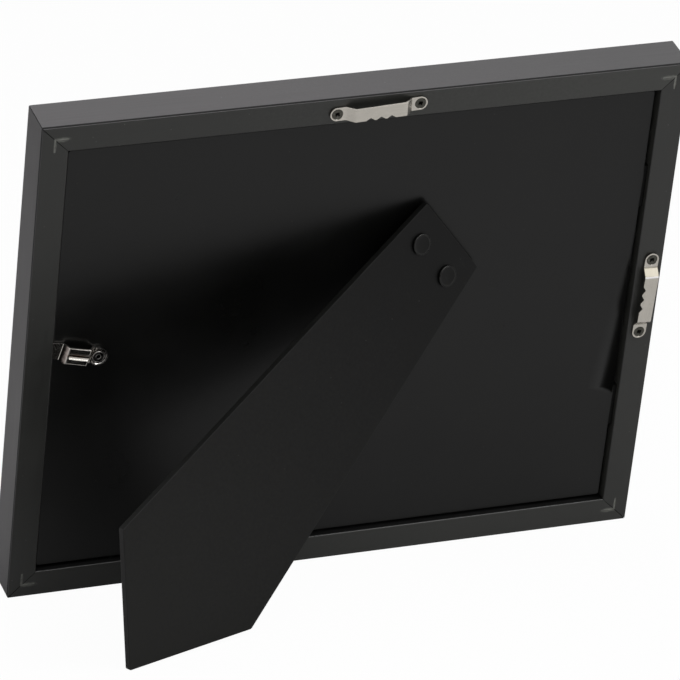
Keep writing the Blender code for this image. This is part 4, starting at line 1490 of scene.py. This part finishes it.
@dataclass
class StrutHinge:
    """The steel hinge under the strut: two leaves with rolled barrels, their pin and the board's rivets."""

    view: RearView
    width: float = 0.030
    middle_share: float = 0.5
    pin_radius: float = 0.0005
    pin_tip_share: float = 0.4
    barrel_radius: float = 0.0013
    clearance: float = 0.00035
    leaf_far: float = 0.0012
    leaf_near: float = 0.0004
    board_leaf: float = 0.022
    strut_leaf: float = 0.0115
    leaf_corner: float = 0.002
    ease: float = 0.0001
    board_rivets: RivetPair = BOARD_RIVETS
    strut_rivets: RivetPair = STRUT_RIVETS
    head_radius: float = 0.003
    head_height: float = 0.0008
    shank_end: float = -0.00465

    def leaf(
        self, name: str, length: float, side: int, barrels: Rings, open_spans: Rings
    ) -> bpy.types.Object:
        """Model one leaf.

        Args:
            name: The leaf's name.
            length: How far it reaches from the pin.
            side: 1 for the strut's leaf, -1 for the board's.
            barrels: Ends of each of its barrels along the pin.
            open_spans: Ends of each gap that it leaves for the other leaf's barrels.

        Returns:
            The leaf in the hinge's axes.
        """
        half = self.width / 2
        low_level, high_level = sorted((side * self.leaf_near, side * self.leaf_far))
        leaf = Bench.block(name, (-half, -length, low_level), (half, 0, high_level))
        with Bench.editing(leaf, Element.EDGE):
            Bench.choose_edges(
                leaf, lambda a, b: abs(a.z - b.z) > TOLERANCE and max(a.y, b.y) < -length + TOLERANCE
            )
            Bench.round_edges(self.leaf_corner, 4)
        clear = self.barrel_radius + self.clearance
        for low, high in open_spans:
            Bench.combine(leaf, Cut.AWAY, Bench.block("gap", (low, -clear, -clear), (high, clear, clear)))
        for span in barrels:
            barrel = Bench.rod("barrel", self.barrel_radius, span, BARREL_SIDES, twist(90, "Y"))
            Bench.combine(leaf, Cut.JOIN, barrel)
        end = half + OVERRUN
        bore = Bench.rod("bore", self.pin_radius + SEAT_GAP, (-end, end), place=twist(90, "Y"))
        Bench.combine(leaf, Cut.AWAY, bore)
        return leaf

    def finish_leaf(
        self, leaf: bpy.types.Object, body: Body, node: str, place: Matrix, rivets: RivetPair
    ) -> None:
        """Drill a leaf's two rivet holes, ease its edges and dress it.

        Args:
            leaf: The leaf in the hinge's axes.
            body: The body that it moves with.
            node: The plain solid that it stands for.
            place: Its place in the standing frame.
            rivets: The rivets that go through it.
        """
        Bench.combine(leaf, Cut.AWAY, *rivets.drills((-OVERRUN, OVERRUN)))
        Bench.ease(leaf, self.ease, 1, STEEL_EASING)
        hand_over(leaf, body, [node], place, [BLACK_STEEL_AND_RECESS_SHADE.paint(place)])

    def build(self) -> None:
        """Model the leaves, the pin and the board's rivets."""
        half = self.width / 2
        middle = half * self.middle_share
        near = middle - SEAT_GAP
        hinge = self.view.hinge()
        barrels, gaps = ((-half, -middle), (middle, half)), ((-middle, middle),)
        leaf = self.leaf("board_leaf", self.board_leaf, -1, barrels, gaps)
        self.finish_leaf(leaf, Body.FRAME, "hinge_leaf_board", hinge, self.board_rivets)
        gaps = ((-half - OVERRUN, -near), (near, half + OVERRUN))
        leaf = self.leaf("strut_leaf", self.strut_leaf, 1, ((-near, near),), gaps)
        self.finish_leaf(leaf, Body.STRUT, "hinge_leaf_strut", self.view.strut(), self.strut_rivets)

        radius, tip = self.pin_radius, self.pin_radius * self.pin_tip_share
        rings = ((radius - tip, -half), (radius, -half + tip), (radius, half - tip), (radius - tip, half))
        pin = Bench.turned("pin_rod", rings, DRILL_SIDES, twist(90, "Y"))
        hand_over(pin, Body.FRAME, ["hinge_pin"], hinge, [BLACK_STEEL_AND_RECESS_SHADE.paint(hinge)])

        shank, head = self.board_rivets.shank, self.head_radius
        base = -self.leaf_near + SEAT_GAP
        top = base + self.head_height
        edge = self.head_height / 3
        rings = (
            (shank, self.shank_end), (shank, base), (head - edge / 2, base), (head, base + edge),
            (head - edge / 2, top - edge / 2), (head - 1.5 * edge, top), (edge, top),
        )
        for side, name in zip(SIDES, ("board_rivet_left", "board_rivet_right")):
            rivet = Bench.turned(name + "_head", rings, HEAD_SIDES, self.board_rivets.spot(side))
            hand_over(
                rivet, Body.FRAME, [name], hinge, [BLACK_STEEL_AND_RECESS_SHADE.paint(hinge)],
                angle=TURNED_SHADING,
            )


@dataclass
class TurnCatch:
    """The pressed turn catch with its trough, and the eyelet that it turns on."""

    sizes: FrameSizes
    view: RearView
    angle: float = 166.0
    level: float = 0.0003
    thickness: float = 0.0008
    end_radius: float = 0.0041
    rim_width: float = 0.0006
    rim_height: float = 0.0009
    rim_end: float = 0.0015
    width: float = 0.0076
    riser_start: float = 0.0029
    riser_run: float = 0.0021
    block_length: float = 0.0095
    raise_height: float = 0.0029
    slope_run: float = 0.002
    tongue_length: float = 0.0069
    tip_width: float = 0.0064
    bend: float = 0.0003
    ease: float = 0.0002
    long_ease: float = 0.00035
    trough_radius: float = 0.0021
    trough_depth: float = 0.0007
    trough_end: float = 0.0009
    head_radius: float = 0.0026
    head_height: float = 0.0006
    roll_steps: int = 6
    lip_share: float = 1.7
    shank_radius: float = 0.0015
    bore_radius: float = 0.0009
    # Painted reflection and highlights on the catch: a brown band in the trough, a light patch on the slope
    # and a glint on the rim
    reflection_aside: float = -0.0001
    painted_reflection_in_trough: tuple[Point, Colour] = ((0.009, 0.00105, 0.003), (0.17, 0.09, 0.05))
    painted_highlight_on_slope: tuple[Point, Colour] = ((0.0012, 0.012, 0.008), (0.48, 0.41, 0.38))
    glint_aside: float = 0.0033
    glint_on_rim: tuple[Point, Colour] = ((0.0010, 0.0009, 0.002), (0.85, 0.82, 0.78))

    def place(self) -> Matrix:
        """Build the matrix from the catch's axes to the standing frame."""
        return self.view.matrix() @ self.view.catch() @ twist(self.angle)

    def plan(self, reach: float, tongue: float) -> bpy.types.Object:
        """Make the solid that trims the strap: a round end, straight sides and a tapered tongue.

        Args:
            reach: Distance from the eyelet to the tip.
            tongue: Distance from the eyelet to the start of the tongue.

        Returns:
            The trimming solid.
        """
        half, tall = self.width / 2, 2 * self.end_radius
        body = Bench.block("plan", (0, -half, -tall), (tongue, half, tall))
        with Bench.editing(body, Element.FACE):
            Bench.choose_faces(body, lambda middle, normal: normal.x > FACING)
            Bench.pull(reach - tongue, 0, 0)
            bpy.ops.transform.resize(value=(1, self.tip_width / self.width, 1), center_override=(reach, 0, 0))
        with Bench.editing(body, Element.EDGE):
            Bench.choose_edges(
                body, lambda a, b: min(a.x, b.x) > reach - TOLERANCE and abs(a.y - b.y) < TOLERANCE
            )
            Bench.round_edges(self.thickness, 4)
        Bench.combine(body, Cut.JOIN, Bench.rod("disc", self.end_radius, (-tall, tall), DISC_SIDES))
        return body

    def rim(self) -> bpy.types.Object:
        """Make the raised rim round the catch's end, open towards the block."""
        top = self.level + self.thickness
        inner, outer, high = self.riser_start, self.end_radius + OVERRUN, top + self.rim_height
        middle = top - self.thickness / 2
        crest = self.end_radius - self.rim_width
        rings = (
            (inner, middle), (outer, middle), (outer, high), (crest, high),
            (crest - self.ease, high - self.ease), (inner + self.ease, top + self.ease / 3), (inner, top),
        )
        rim = Bench.turned("rim", rings, DISC_SIDES, ring=True)
        Bench.combine(rim, Cut.AWAY, Bench.block(
            "rim_opening", (self.rim_end, -outer, 0), (outer + OVERRUN, outer, high + OVERRUN)
        ))
        return rim

    def trough(self, start: float, top: float) -> tuple[bpy.types.Object, bpy.types.Object]:
        """Make the trough pressed into the raised block.

        Args:
            start: Where the block starts.
            top: Height of the block's upper face.

        Returns:
            What the trough adds under the block, and the rod that hollows it.
        """
        along = shift(0, 0, top - self.trough_depth + self.trough_radius) @ twist(90, "Y")
        end, wall = start + self.block_length, self.trough_radius + self.thickness
        swell = Bench.rod("swell", wall, (start, end), TROUGH_SIDES, along)
        Bench.combine(swell, Cut.KEEP, Bench.block(
            "keep", (0, -wall, 0), (end + OVERRUN, wall, top - self.thickness / 2)
        ))
        stop = end - self.trough_end
        soft = self.trough_radius - self.trough_depth
        rings = (
            (self.trough_radius, start - self.thickness), (self.trough_radius, stop - self.bend),
            (self.trough_radius - self.bend / 3, stop - self.bend / 4), (soft, stop + self.bend / 2),
        )
        return swell, Bench.turned("hollow", rings, TROUGH_SIDES, along)

    def catch(self, place: Matrix) -> None:
        """Press and dress the catch.

        Args:
            place: Matrix from the catch's axes to the standing frame.
        """
        block = self.riser_start + self.riser_run
        slope = block + self.block_length
        tongue = slope + self.slope_run
        reach = tongue + self.tongue_length
        high, half = self.level + self.raise_height, self.width / 2
        rising = self.thickness * math.tan(math.atan2(self.raise_height, self.riser_run) / 2)
        falling = self.thickness * math.tan(math.atan2(self.raise_height, self.slope_run) / 2)
        stations = (
            (-self.end_radius - OVERRUN, self.level), (self.riser_start + rising, self.level),
            (block + rising, high), (slope - falling, high), (tongue - falling, self.level),
            (reach + OVERRUN, self.level),
        )
        blank_width = 2 * (self.end_radius + OVERRUN)
        catch = Bench.strap("catch_strap", stations, blank_width, self.bend, self.thickness)
        swell, hollow = self.trough(block, high + self.thickness)
        hole = Bench.rod("drill", self.shank_radius + SEAT_GAP, (-OVERRUN, OVERRUN), BARREL_SIDES)
        Bench.combine(catch, Cut.JOIN, self.rim(), swell)
        Bench.combine(catch, Cut.KEEP, self.plan(reach, tongue))
        Bench.combine(catch, Cut.AWAY, hollow, hole)
        with Bench.editing(catch, Element.EDGE):
            Bench.choose_edges(catch, lambda a, b: min(a.z, b.z) > high + self.thickness - TOLERANCE and all(
                abs(abs(point.y) - half) < TOLERANCE for point in (a, b)
            ))
            Bench.round_edges(self.long_ease, 2)
        Bench.ease(catch, self.ease, 2, STEEL_EASING)
        # Painted reflection: a brown band along the trough; painted highlights at the slope's top and on the
        # rim
        brown = Patch((slope - self.block_length / 2, self.reflection_aside, high), *self.painted_reflection_in_trough)
        light = Patch((slope, 0, high), *self.painted_highlight_on_slope)
        glint = Patch((0, self.glint_aside, self.level + self.thickness), *self.glint_on_rim)
        edge = half - self.long_ease - TOLERANCE
        hand_over(
            catch, Body.CATCH, ["turn_catch"], place,
            [
                BRIGHT_NICKEL.paint(place, [brown]), NICKEL_PAINTED_DARK_REFLECTION.paint(place, [light]),
                NICKEL_EDGE_HIGHLIGHT.paint(place), EYELET_NICKEL_AND_RIM_SHADE.paint(place, [glint]),
            ],
            # The slope as a painted dark reflection, the block's long edges as a painted highlight and the
            # rim as painted shade
            [
                (1, lambda s, n: slope < s.x < tongue and n.x > STEEP),
                (2, lambda s, n: block < s.x < slope and abs(s.y) > edge and STEEP < n.z < LEVEL
                    and abs(n.y) > STEEP),
                (3, lambda s, n: s.x < self.riser_start < s.xy.length),
            ],
        )

    def eyelet(self, place: Matrix) -> None:
        """Roll and dress the eyelet.

        Args:
            place: Matrix from the catch's axes to the standing frame.
        """
        base = self.level + self.thickness + SEAT_GAP
        roll = self.head_height / 2
        shank, bore, front = self.shank_radius, self.bore_radius, -self.sizes.board_thickness
        middle = self.head_radius - roll
        rings = [(bore, front), (shank, front), (shank, base), (self.head_radius - roll / 2, base)]
        for step in range(1, self.roll_steps + 1):
            angle = math.pi * (step / self.roll_steps - 0.5)
            rings.append((middle + roll * math.cos(angle), base + roll + roll * math.sin(angle)))
        rings += [
            (bore + roll, base + 2 * roll), (bore + roll / 4, base + self.lip_share * roll),
            (bore, base + roll),
        ]
        eyelet = Bench.turned("catch_eyelet", rings, HEAD_SIDES, ring=True)
        hand_over(
            eyelet, Body.FRAME, ["catch_rivet"], place, [EYELET_NICKEL_AND_RIM_SHADE.paint(place)],
            angle=TURNED_SHADING,
        )

    def build(self) -> None:
        """Model the catch and its eyelet."""
        place = self.place()
        self.catch(place)
        self.eyelet(place)


@dataclass
class SawtoothHanger:
    """A bent steel hanger with a row of notches, and its two cross-recess screws."""

    view: RearView
    plan: HangerPlan
    level: float = 0.0003
    thickness: float = 0.0008
    width: float = 0.0062
    bar_length: float = 0.0216
    bar_raise: float = 0.003
    ramp_run: float = 0.0032
    notch_count: int = 3
    notch_pitch: float = 0.00455
    notch_width: float = 0.0038
    notch_depth: float = 0.0012
    bend: float = 0.0005
    ease: float = 0.00012
    head_radius: float = 0.0024
    point: float = 0.002
    screw_turn: float = 0.6
    recess_span: float = 0.0032
    recess_slot: float = 0.0009
    recess_depth: float = 0.0010
    recess_taper: float = 0.55
    pit_radius: float = 0.0009
    pit_depth: float = 0.0012

    def place(self) -> Matrix:
        """Build the matrix from the hanger's axes to the standing frame."""
        return self.view.matrix() @ self.plan.matrix()

    def notch(self, middle: float) -> bpy.types.Object:
        """Make the wedge that cuts one notch.

        Args:
            middle: Where the notch is along the hanger.

        Returns:
            The wedge.
        """
        edge, tall, half = -self.width / 2, 4 * self.bar_raise, self.notch_width / 2
        root = self.ease / self.notch_width * (self.notch_depth / half)
        wedge = Bench.block(
            "notch", (middle - OVERRUN, edge - OVERRUN, -tall), (middle + OVERRUN, edge, tall)
        )
        with Bench.editing(wedge, Element.FACE):
            Bench.choose_faces(wedge, lambda spot, normal: normal.y > FACING)
            bpy.ops.transform.resize(value=(half / OVERRUN, 1, 1), center_override=(middle, edge, 0))
            Bench.pull(0, self.notch_depth, 0)
            bpy.ops.transform.resize(value=(root, 1, 1), center_override=(middle, 0, 0))
        return wedge

    def outline(self) -> bpy.types.Object:
        """Make the solid that trims the strap: round ends and a notched edge."""
        half, tall = self.width / 2, 4 * self.bar_raise
        hole = self.plan.hole_spacing / 2
        body = Bench.block("outline", (-hole, -half, -tall), (hole, half, tall))
        for side in SIDES:
            disc = Bench.rod("disc", half, (-tall, tall), DISC_SIDES, self.plan.screw_spot(side))
            Bench.combine(body, Cut.JOIN, disc)
        for number in range(self.notch_count):
            middle = (number - (self.notch_count - 1) / 2) * self.notch_pitch
            Bench.combine(body, Cut.AWAY, self.notch(middle))
        return body

    def wing(self, turn: float, top: float) -> bpy.types.Object:
        """Make the tapered solid that presses one slot of the cross.

        Args:
            turn: Its turn about the screw, in degrees.
            top: Height of the screw's head.

        Returns:
            The solid.
        """
        half, slot, taper = self.recess_span / 2, self.recess_slot / 2, self.recess_taper
        wing = Bench.block("wing", (-half, -slot, top - self.recess_depth), (half, slot, top + OVERRUN))
        with Bench.editing(wing, Element.FACE):
            Bench.choose_faces(wing, lambda spot, normal: normal.z < -FACING)
            bpy.ops.transform.resize(value=(taper, taper, 1), center_override=(0, 0, 0))
        Bench.settle(wing, twist(turn))
        return wing

    def screw(self, side: int, name: str) -> None:
        """Turn one countersunk screw and press its tapered cross recess.

        Args:
            side: 1 for the end along x, -1 for the other.
            name: The plain solid that it stands for.
        """
        shank, end, head, rim = self.plan.screw_radius, -self.plan.screw_length, self.head_radius, self.ease
        top = self.level + self.thickness
        rings = (
            (rim, end), (shank, end + self.point), (shank, 0), (head - rim, top - rim),
            (head - rim / 2, top - rim / 3), (head - 2 * rim, top),
        )
        screw = Bench.turned(name + "_head", rings, HEAD_SIDES)
        flare = self.pit_radius / self.pit_depth * OVERRUN
        pit_rings = ((rim, top - self.pit_depth), (self.pit_radius + flare, top + OVERRUN))
        pit = Bench.turned("pit", pit_rings, DRILL_SIDES)
        Bench.combine(screw, Cut.AWAY, self.wing(0, top), self.wing(90, top), pit)
        spot = self.plan.screw_spot(side)
        Bench.settle(screw, spot @ Matrix.Rotation(self.screw_turn * side, 4, "Z"))
        place, axis = self.place(), spot.to_translation()
        reach, deep = self.recess_span / 2 + TOLERANCE, top - 2 * rim
        hand_over(
            screw, Body.FRAME, [name], place,
            # The cross recess and pit take the near-black steel as painted shade
            [SCREW_BLACK.paint(place), BLACK_STEEL_AND_RECESS_SHADE.paint(place)],
            [(1, lambda s, n: s.z < deep and (s - axis).xy.length < reach and n.z > -HALFWAY)],
        )

    def build(self) -> None:
        """Model the hanger and its screws."""
        bar = self.bar_length / 2
        foot, end = bar + self.ramp_run, self.plan.hole_spacing / 2 + self.width
        low, high = self.level, self.level + self.bar_raise
        stations = ((-end, low), (-foot, low), (-bar, high), (bar, high), (foot, low), (end, low))
        blank_width = self.width + 2 * OVERRUN
        hanger = Bench.strap(self.plan.name + "_strap", stations, blank_width, self.bend, self.thickness)
        Bench.combine(hanger, Cut.KEEP, self.outline())
        sink, hole = self.head_radius + SEAT_GAP / 3, self.plan.screw_radius + SEAT_GAP
        top = low + self.thickness
        rings = ((hole, -OVERRUN), (hole, SEAT_GAP), (sink, top), (sink, top + OVERRUN))
        for side in SIDES:
            drill = Bench.turned("drill", rings, HEAD_SIDES, self.plan.screw_spot(side))
            Bench.combine(hanger, Cut.AWAY, drill)
        Bench.ease(hanger, self.ease, 2, STEEL_EASING)
        place, bend = self.place(), self.bend
        hand_over(
            hanger, Body.FRAME, [self.plan.name], place,
            [finish.paint(place) for finish in (NICKEL, self.plan.ramp, self.plan.glint)],
            [
                # The upper ramp and its crease take the painted light and glint
                (1, lambda s, n: -foot - bend < s.x < -bar - bend / 2 and n.x < -SLIGHT),
                (2, lambda s, n: abs(s.x + bar) < bend and n.x < -SLIGHT and n.z > SLIGHT),
            ],
        )
        for side, name in zip(SIDES, self.plan.screws):
            self.screw(side, name)


@dataclass
class KeptSolids:
    """Pieces whose plain solids stay and only get their finish."""

    view: RearView
    nails: tuple[str, ...] = (
        "v_nail_top_left", "v_nail_top_right", "v_nail_bottom_left", "v_nail_bottom_right",
    )

    def build(self) -> None:
        """Dress the nails, the glass and the insert."""
        place = self.view.matrix()
        finishes = {"glass_pane": PaneGlass().paint(), "picture_insert": INSERT_PAPER.paint(place)}
        scuffed = NAIL_SCUFFED.paint(place)
        finishes.update({name: scuffed for name in self.nails})
        for name, material in finishes.items():
            Bench.dress(frame["nodes"][name], [material])
            LOG.info("%s: dressed with %s", name, material.name)


@dataclass
class Studio:
    """White floor, soft light and the camera."""

    floor_size: float = 24.0
    floor_colour: Colour = (0.86, 0.86, 0.86)
    floor_roughness: float = 0.9
    floor_white: float = 0.97
    floor_mirrored: float = 0.0
    room_light: float = 0.0
    room_mirrored: float = 1.0
    room_behind: float = 0.05
    behind_edge: tuple[float, float] = (0.45, 0.75)
    level_edge: tuple[float, float] = (0.45, 0.7)
    camera_place: Point = (0.79552, 2.150415, 0.821798)
    camera_turn: Point = (72.73562, 0.40602, 159.72248)
    lens: float = 306.964
    sensor: float = 36.0
    aim: Point = (0.0, 0.0, 0.1)
    lamps: tuple[tuple[str, Point, float, float], ...] = (
        ("rear_right_softbox", (-1.6, 1.3, 2.35), 1.6, 47.9),
        ("top_softbox", (-0.4, 0.2, 2.8), 2.3, 16.5),
        ("top_left_softbox", (1.0, 0.0, 2.4), 1.8, 11.3),
        ("rear_top_softbox", (0.2, 1.8, 2.3), 1.4, 10.3),
        ("low_rear_softbox", (-1.1, 2.5, 0.95), 1.2, 10.6),
    )

    def strength(self, graph: Graph, seen: float, mirrored: object, lighting: float) -> bpy.types.NodeSocket:
        """Set a brightness for each kind of ray.

        Args:
            graph: The graph that it is for.
            seen: Value for rays from the camera or through glass.
            mirrored: Value for rays that a shiny surface reflects.
            lighting: Value for all other rays.

        Returns:
            The output with the value.
        """
        path = graph.node("ShaderNodeLightPath")
        direct = graph.math("MAXIMUM", path.outputs["Is Camera Ray"], path.outputs["Is Transmission Ray"])
        other = graph.spread(path.outputs["Is Glossy Ray"], 0.0, 1.0, lighting, mirrored)
        return graph.spread(direct, 0.0, 1.0, other, seen)

    def floor(self) -> None:
        """Lay the white floor, which keeps a soft shadow."""
        bpy.ops.mesh.primitive_plane_add(size=self.floor_size)
        floor = bpy.context.active_object
        floor.name = "floor"
        material, graph, shader = open_material("white_floor")
        graph.feed(shader.inputs["Base Color"], wide(self.floor_colour))
        graph.feed(shader.inputs["Roughness"], self.floor_roughness)
        graph.feed(shader.inputs["Specular IOR Level"], 0.0)
        glow = graph.node("ShaderNodeEmission")
        share = self.strength(graph, self.floor_white, self.floor_mirrored, 0.0)
        mixed = graph.node("ShaderNodeMixShader")
        graph.feed(mixed.inputs[0], share)
        graph.feed(mixed.inputs[1], shader.outputs[0])
        graph.feed(mixed.inputs[2], glow.outputs[0])
        graph.feed(material.node_tree.nodes["Material Output"].inputs["Surface"], mixed.outputs[0])
        Bench.dress(floor, [material])

    def world(self) -> None:
        """Surround the frame with white, which lights it less than it shows."""
        world = bpy.data.worlds.new("white_room")
        world.use_nodes = True
        bpy.context.scene.world = world
        graph = Graph(world.node_tree)
        backdrop = world.node_tree.nodes["Background"]
        backdrop.inputs["Color"].default_value = (1, 1, 1, 1)
        away = graph.node("ShaderNodeTexCoord").outputs["Generated"]
        parts = graph.node("ShaderNodeSeparateXYZ", {"Vector": away})
        behind = graph.spread(parts.outputs["Y"], *self.behind_edge)
        level = graph.spread(parts.outputs["Z"], *self.level_edge, 1.0, 0.0)
        share = graph.math("MULTIPLY", behind, level)
        dimmed = graph.spread(share, 0.0, 1.0, self.room_mirrored, self.room_behind)
        graph.feed(backdrop.inputs["Strength"], self.strength(graph, 1.0, dimmed, self.room_light))

    def light(self) -> None:
        """Hang the softboxes."""
        for name, spot, size, power in self.lamps:
            lamp = bpy.data.lights.new(name, "AREA")
            lamp.shape = "SQUARE"
            lamp.size = size
            lamp.energy = power
            holder = bpy.data.objects.new(name, lamp)
            bpy.context.scene.collection.objects.link(holder)
            away = Vector(spot) - Vector(self.aim)
            holder.matrix_world = shift(*spot) @ away.to_track_quat("Z", "Y").to_matrix().to_4x4()

    def camera(self) -> None:
        """Place the camera at the photograph's view."""
        data = bpy.data.cameras.new("rear_camera")
        data.lens = self.lens
        data.sensor_width = self.sensor
        data.sensor_fit = "HORIZONTAL"
        data.clip_end = 2 * self.floor_size
        camera = bpy.data.objects.new("rear_camera", data)
        bpy.context.scene.collection.objects.link(camera)
        camera.location = self.camera_place
        camera.rotation_euler = [math.radians(angle) for angle in self.camera_turn]
        bpy.context.scene.camera = camera

    def build(self) -> None:
        """Set up the floor, the light and the camera."""
        bpy.context.scene.view_settings.view_transform = "Standard"
        self.floor()
        self.world()
        self.light()
        self.camera()


def main() -> None:
    """Build and dress the whole frame."""
    logging.basicConfig(level=logging.INFO, format="%(message)s")
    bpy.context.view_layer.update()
    sizes, view = FrameSizes(), RearView()
    pieces = [
        Moulding(sizes, view), BackingBoard(sizes, view), EaselStrut(view), StrutHinge(view),
        TurnCatch(sizes, view), *(SawtoothHanger(view, plan) for plan in HANGERS), KeptSolids(view), Studio(),
    ]
    for piece in pieces:
        piece.build()
        LOG.info("%s is done", type(piece).__name__)


if __name__ == "__main__":
    main()
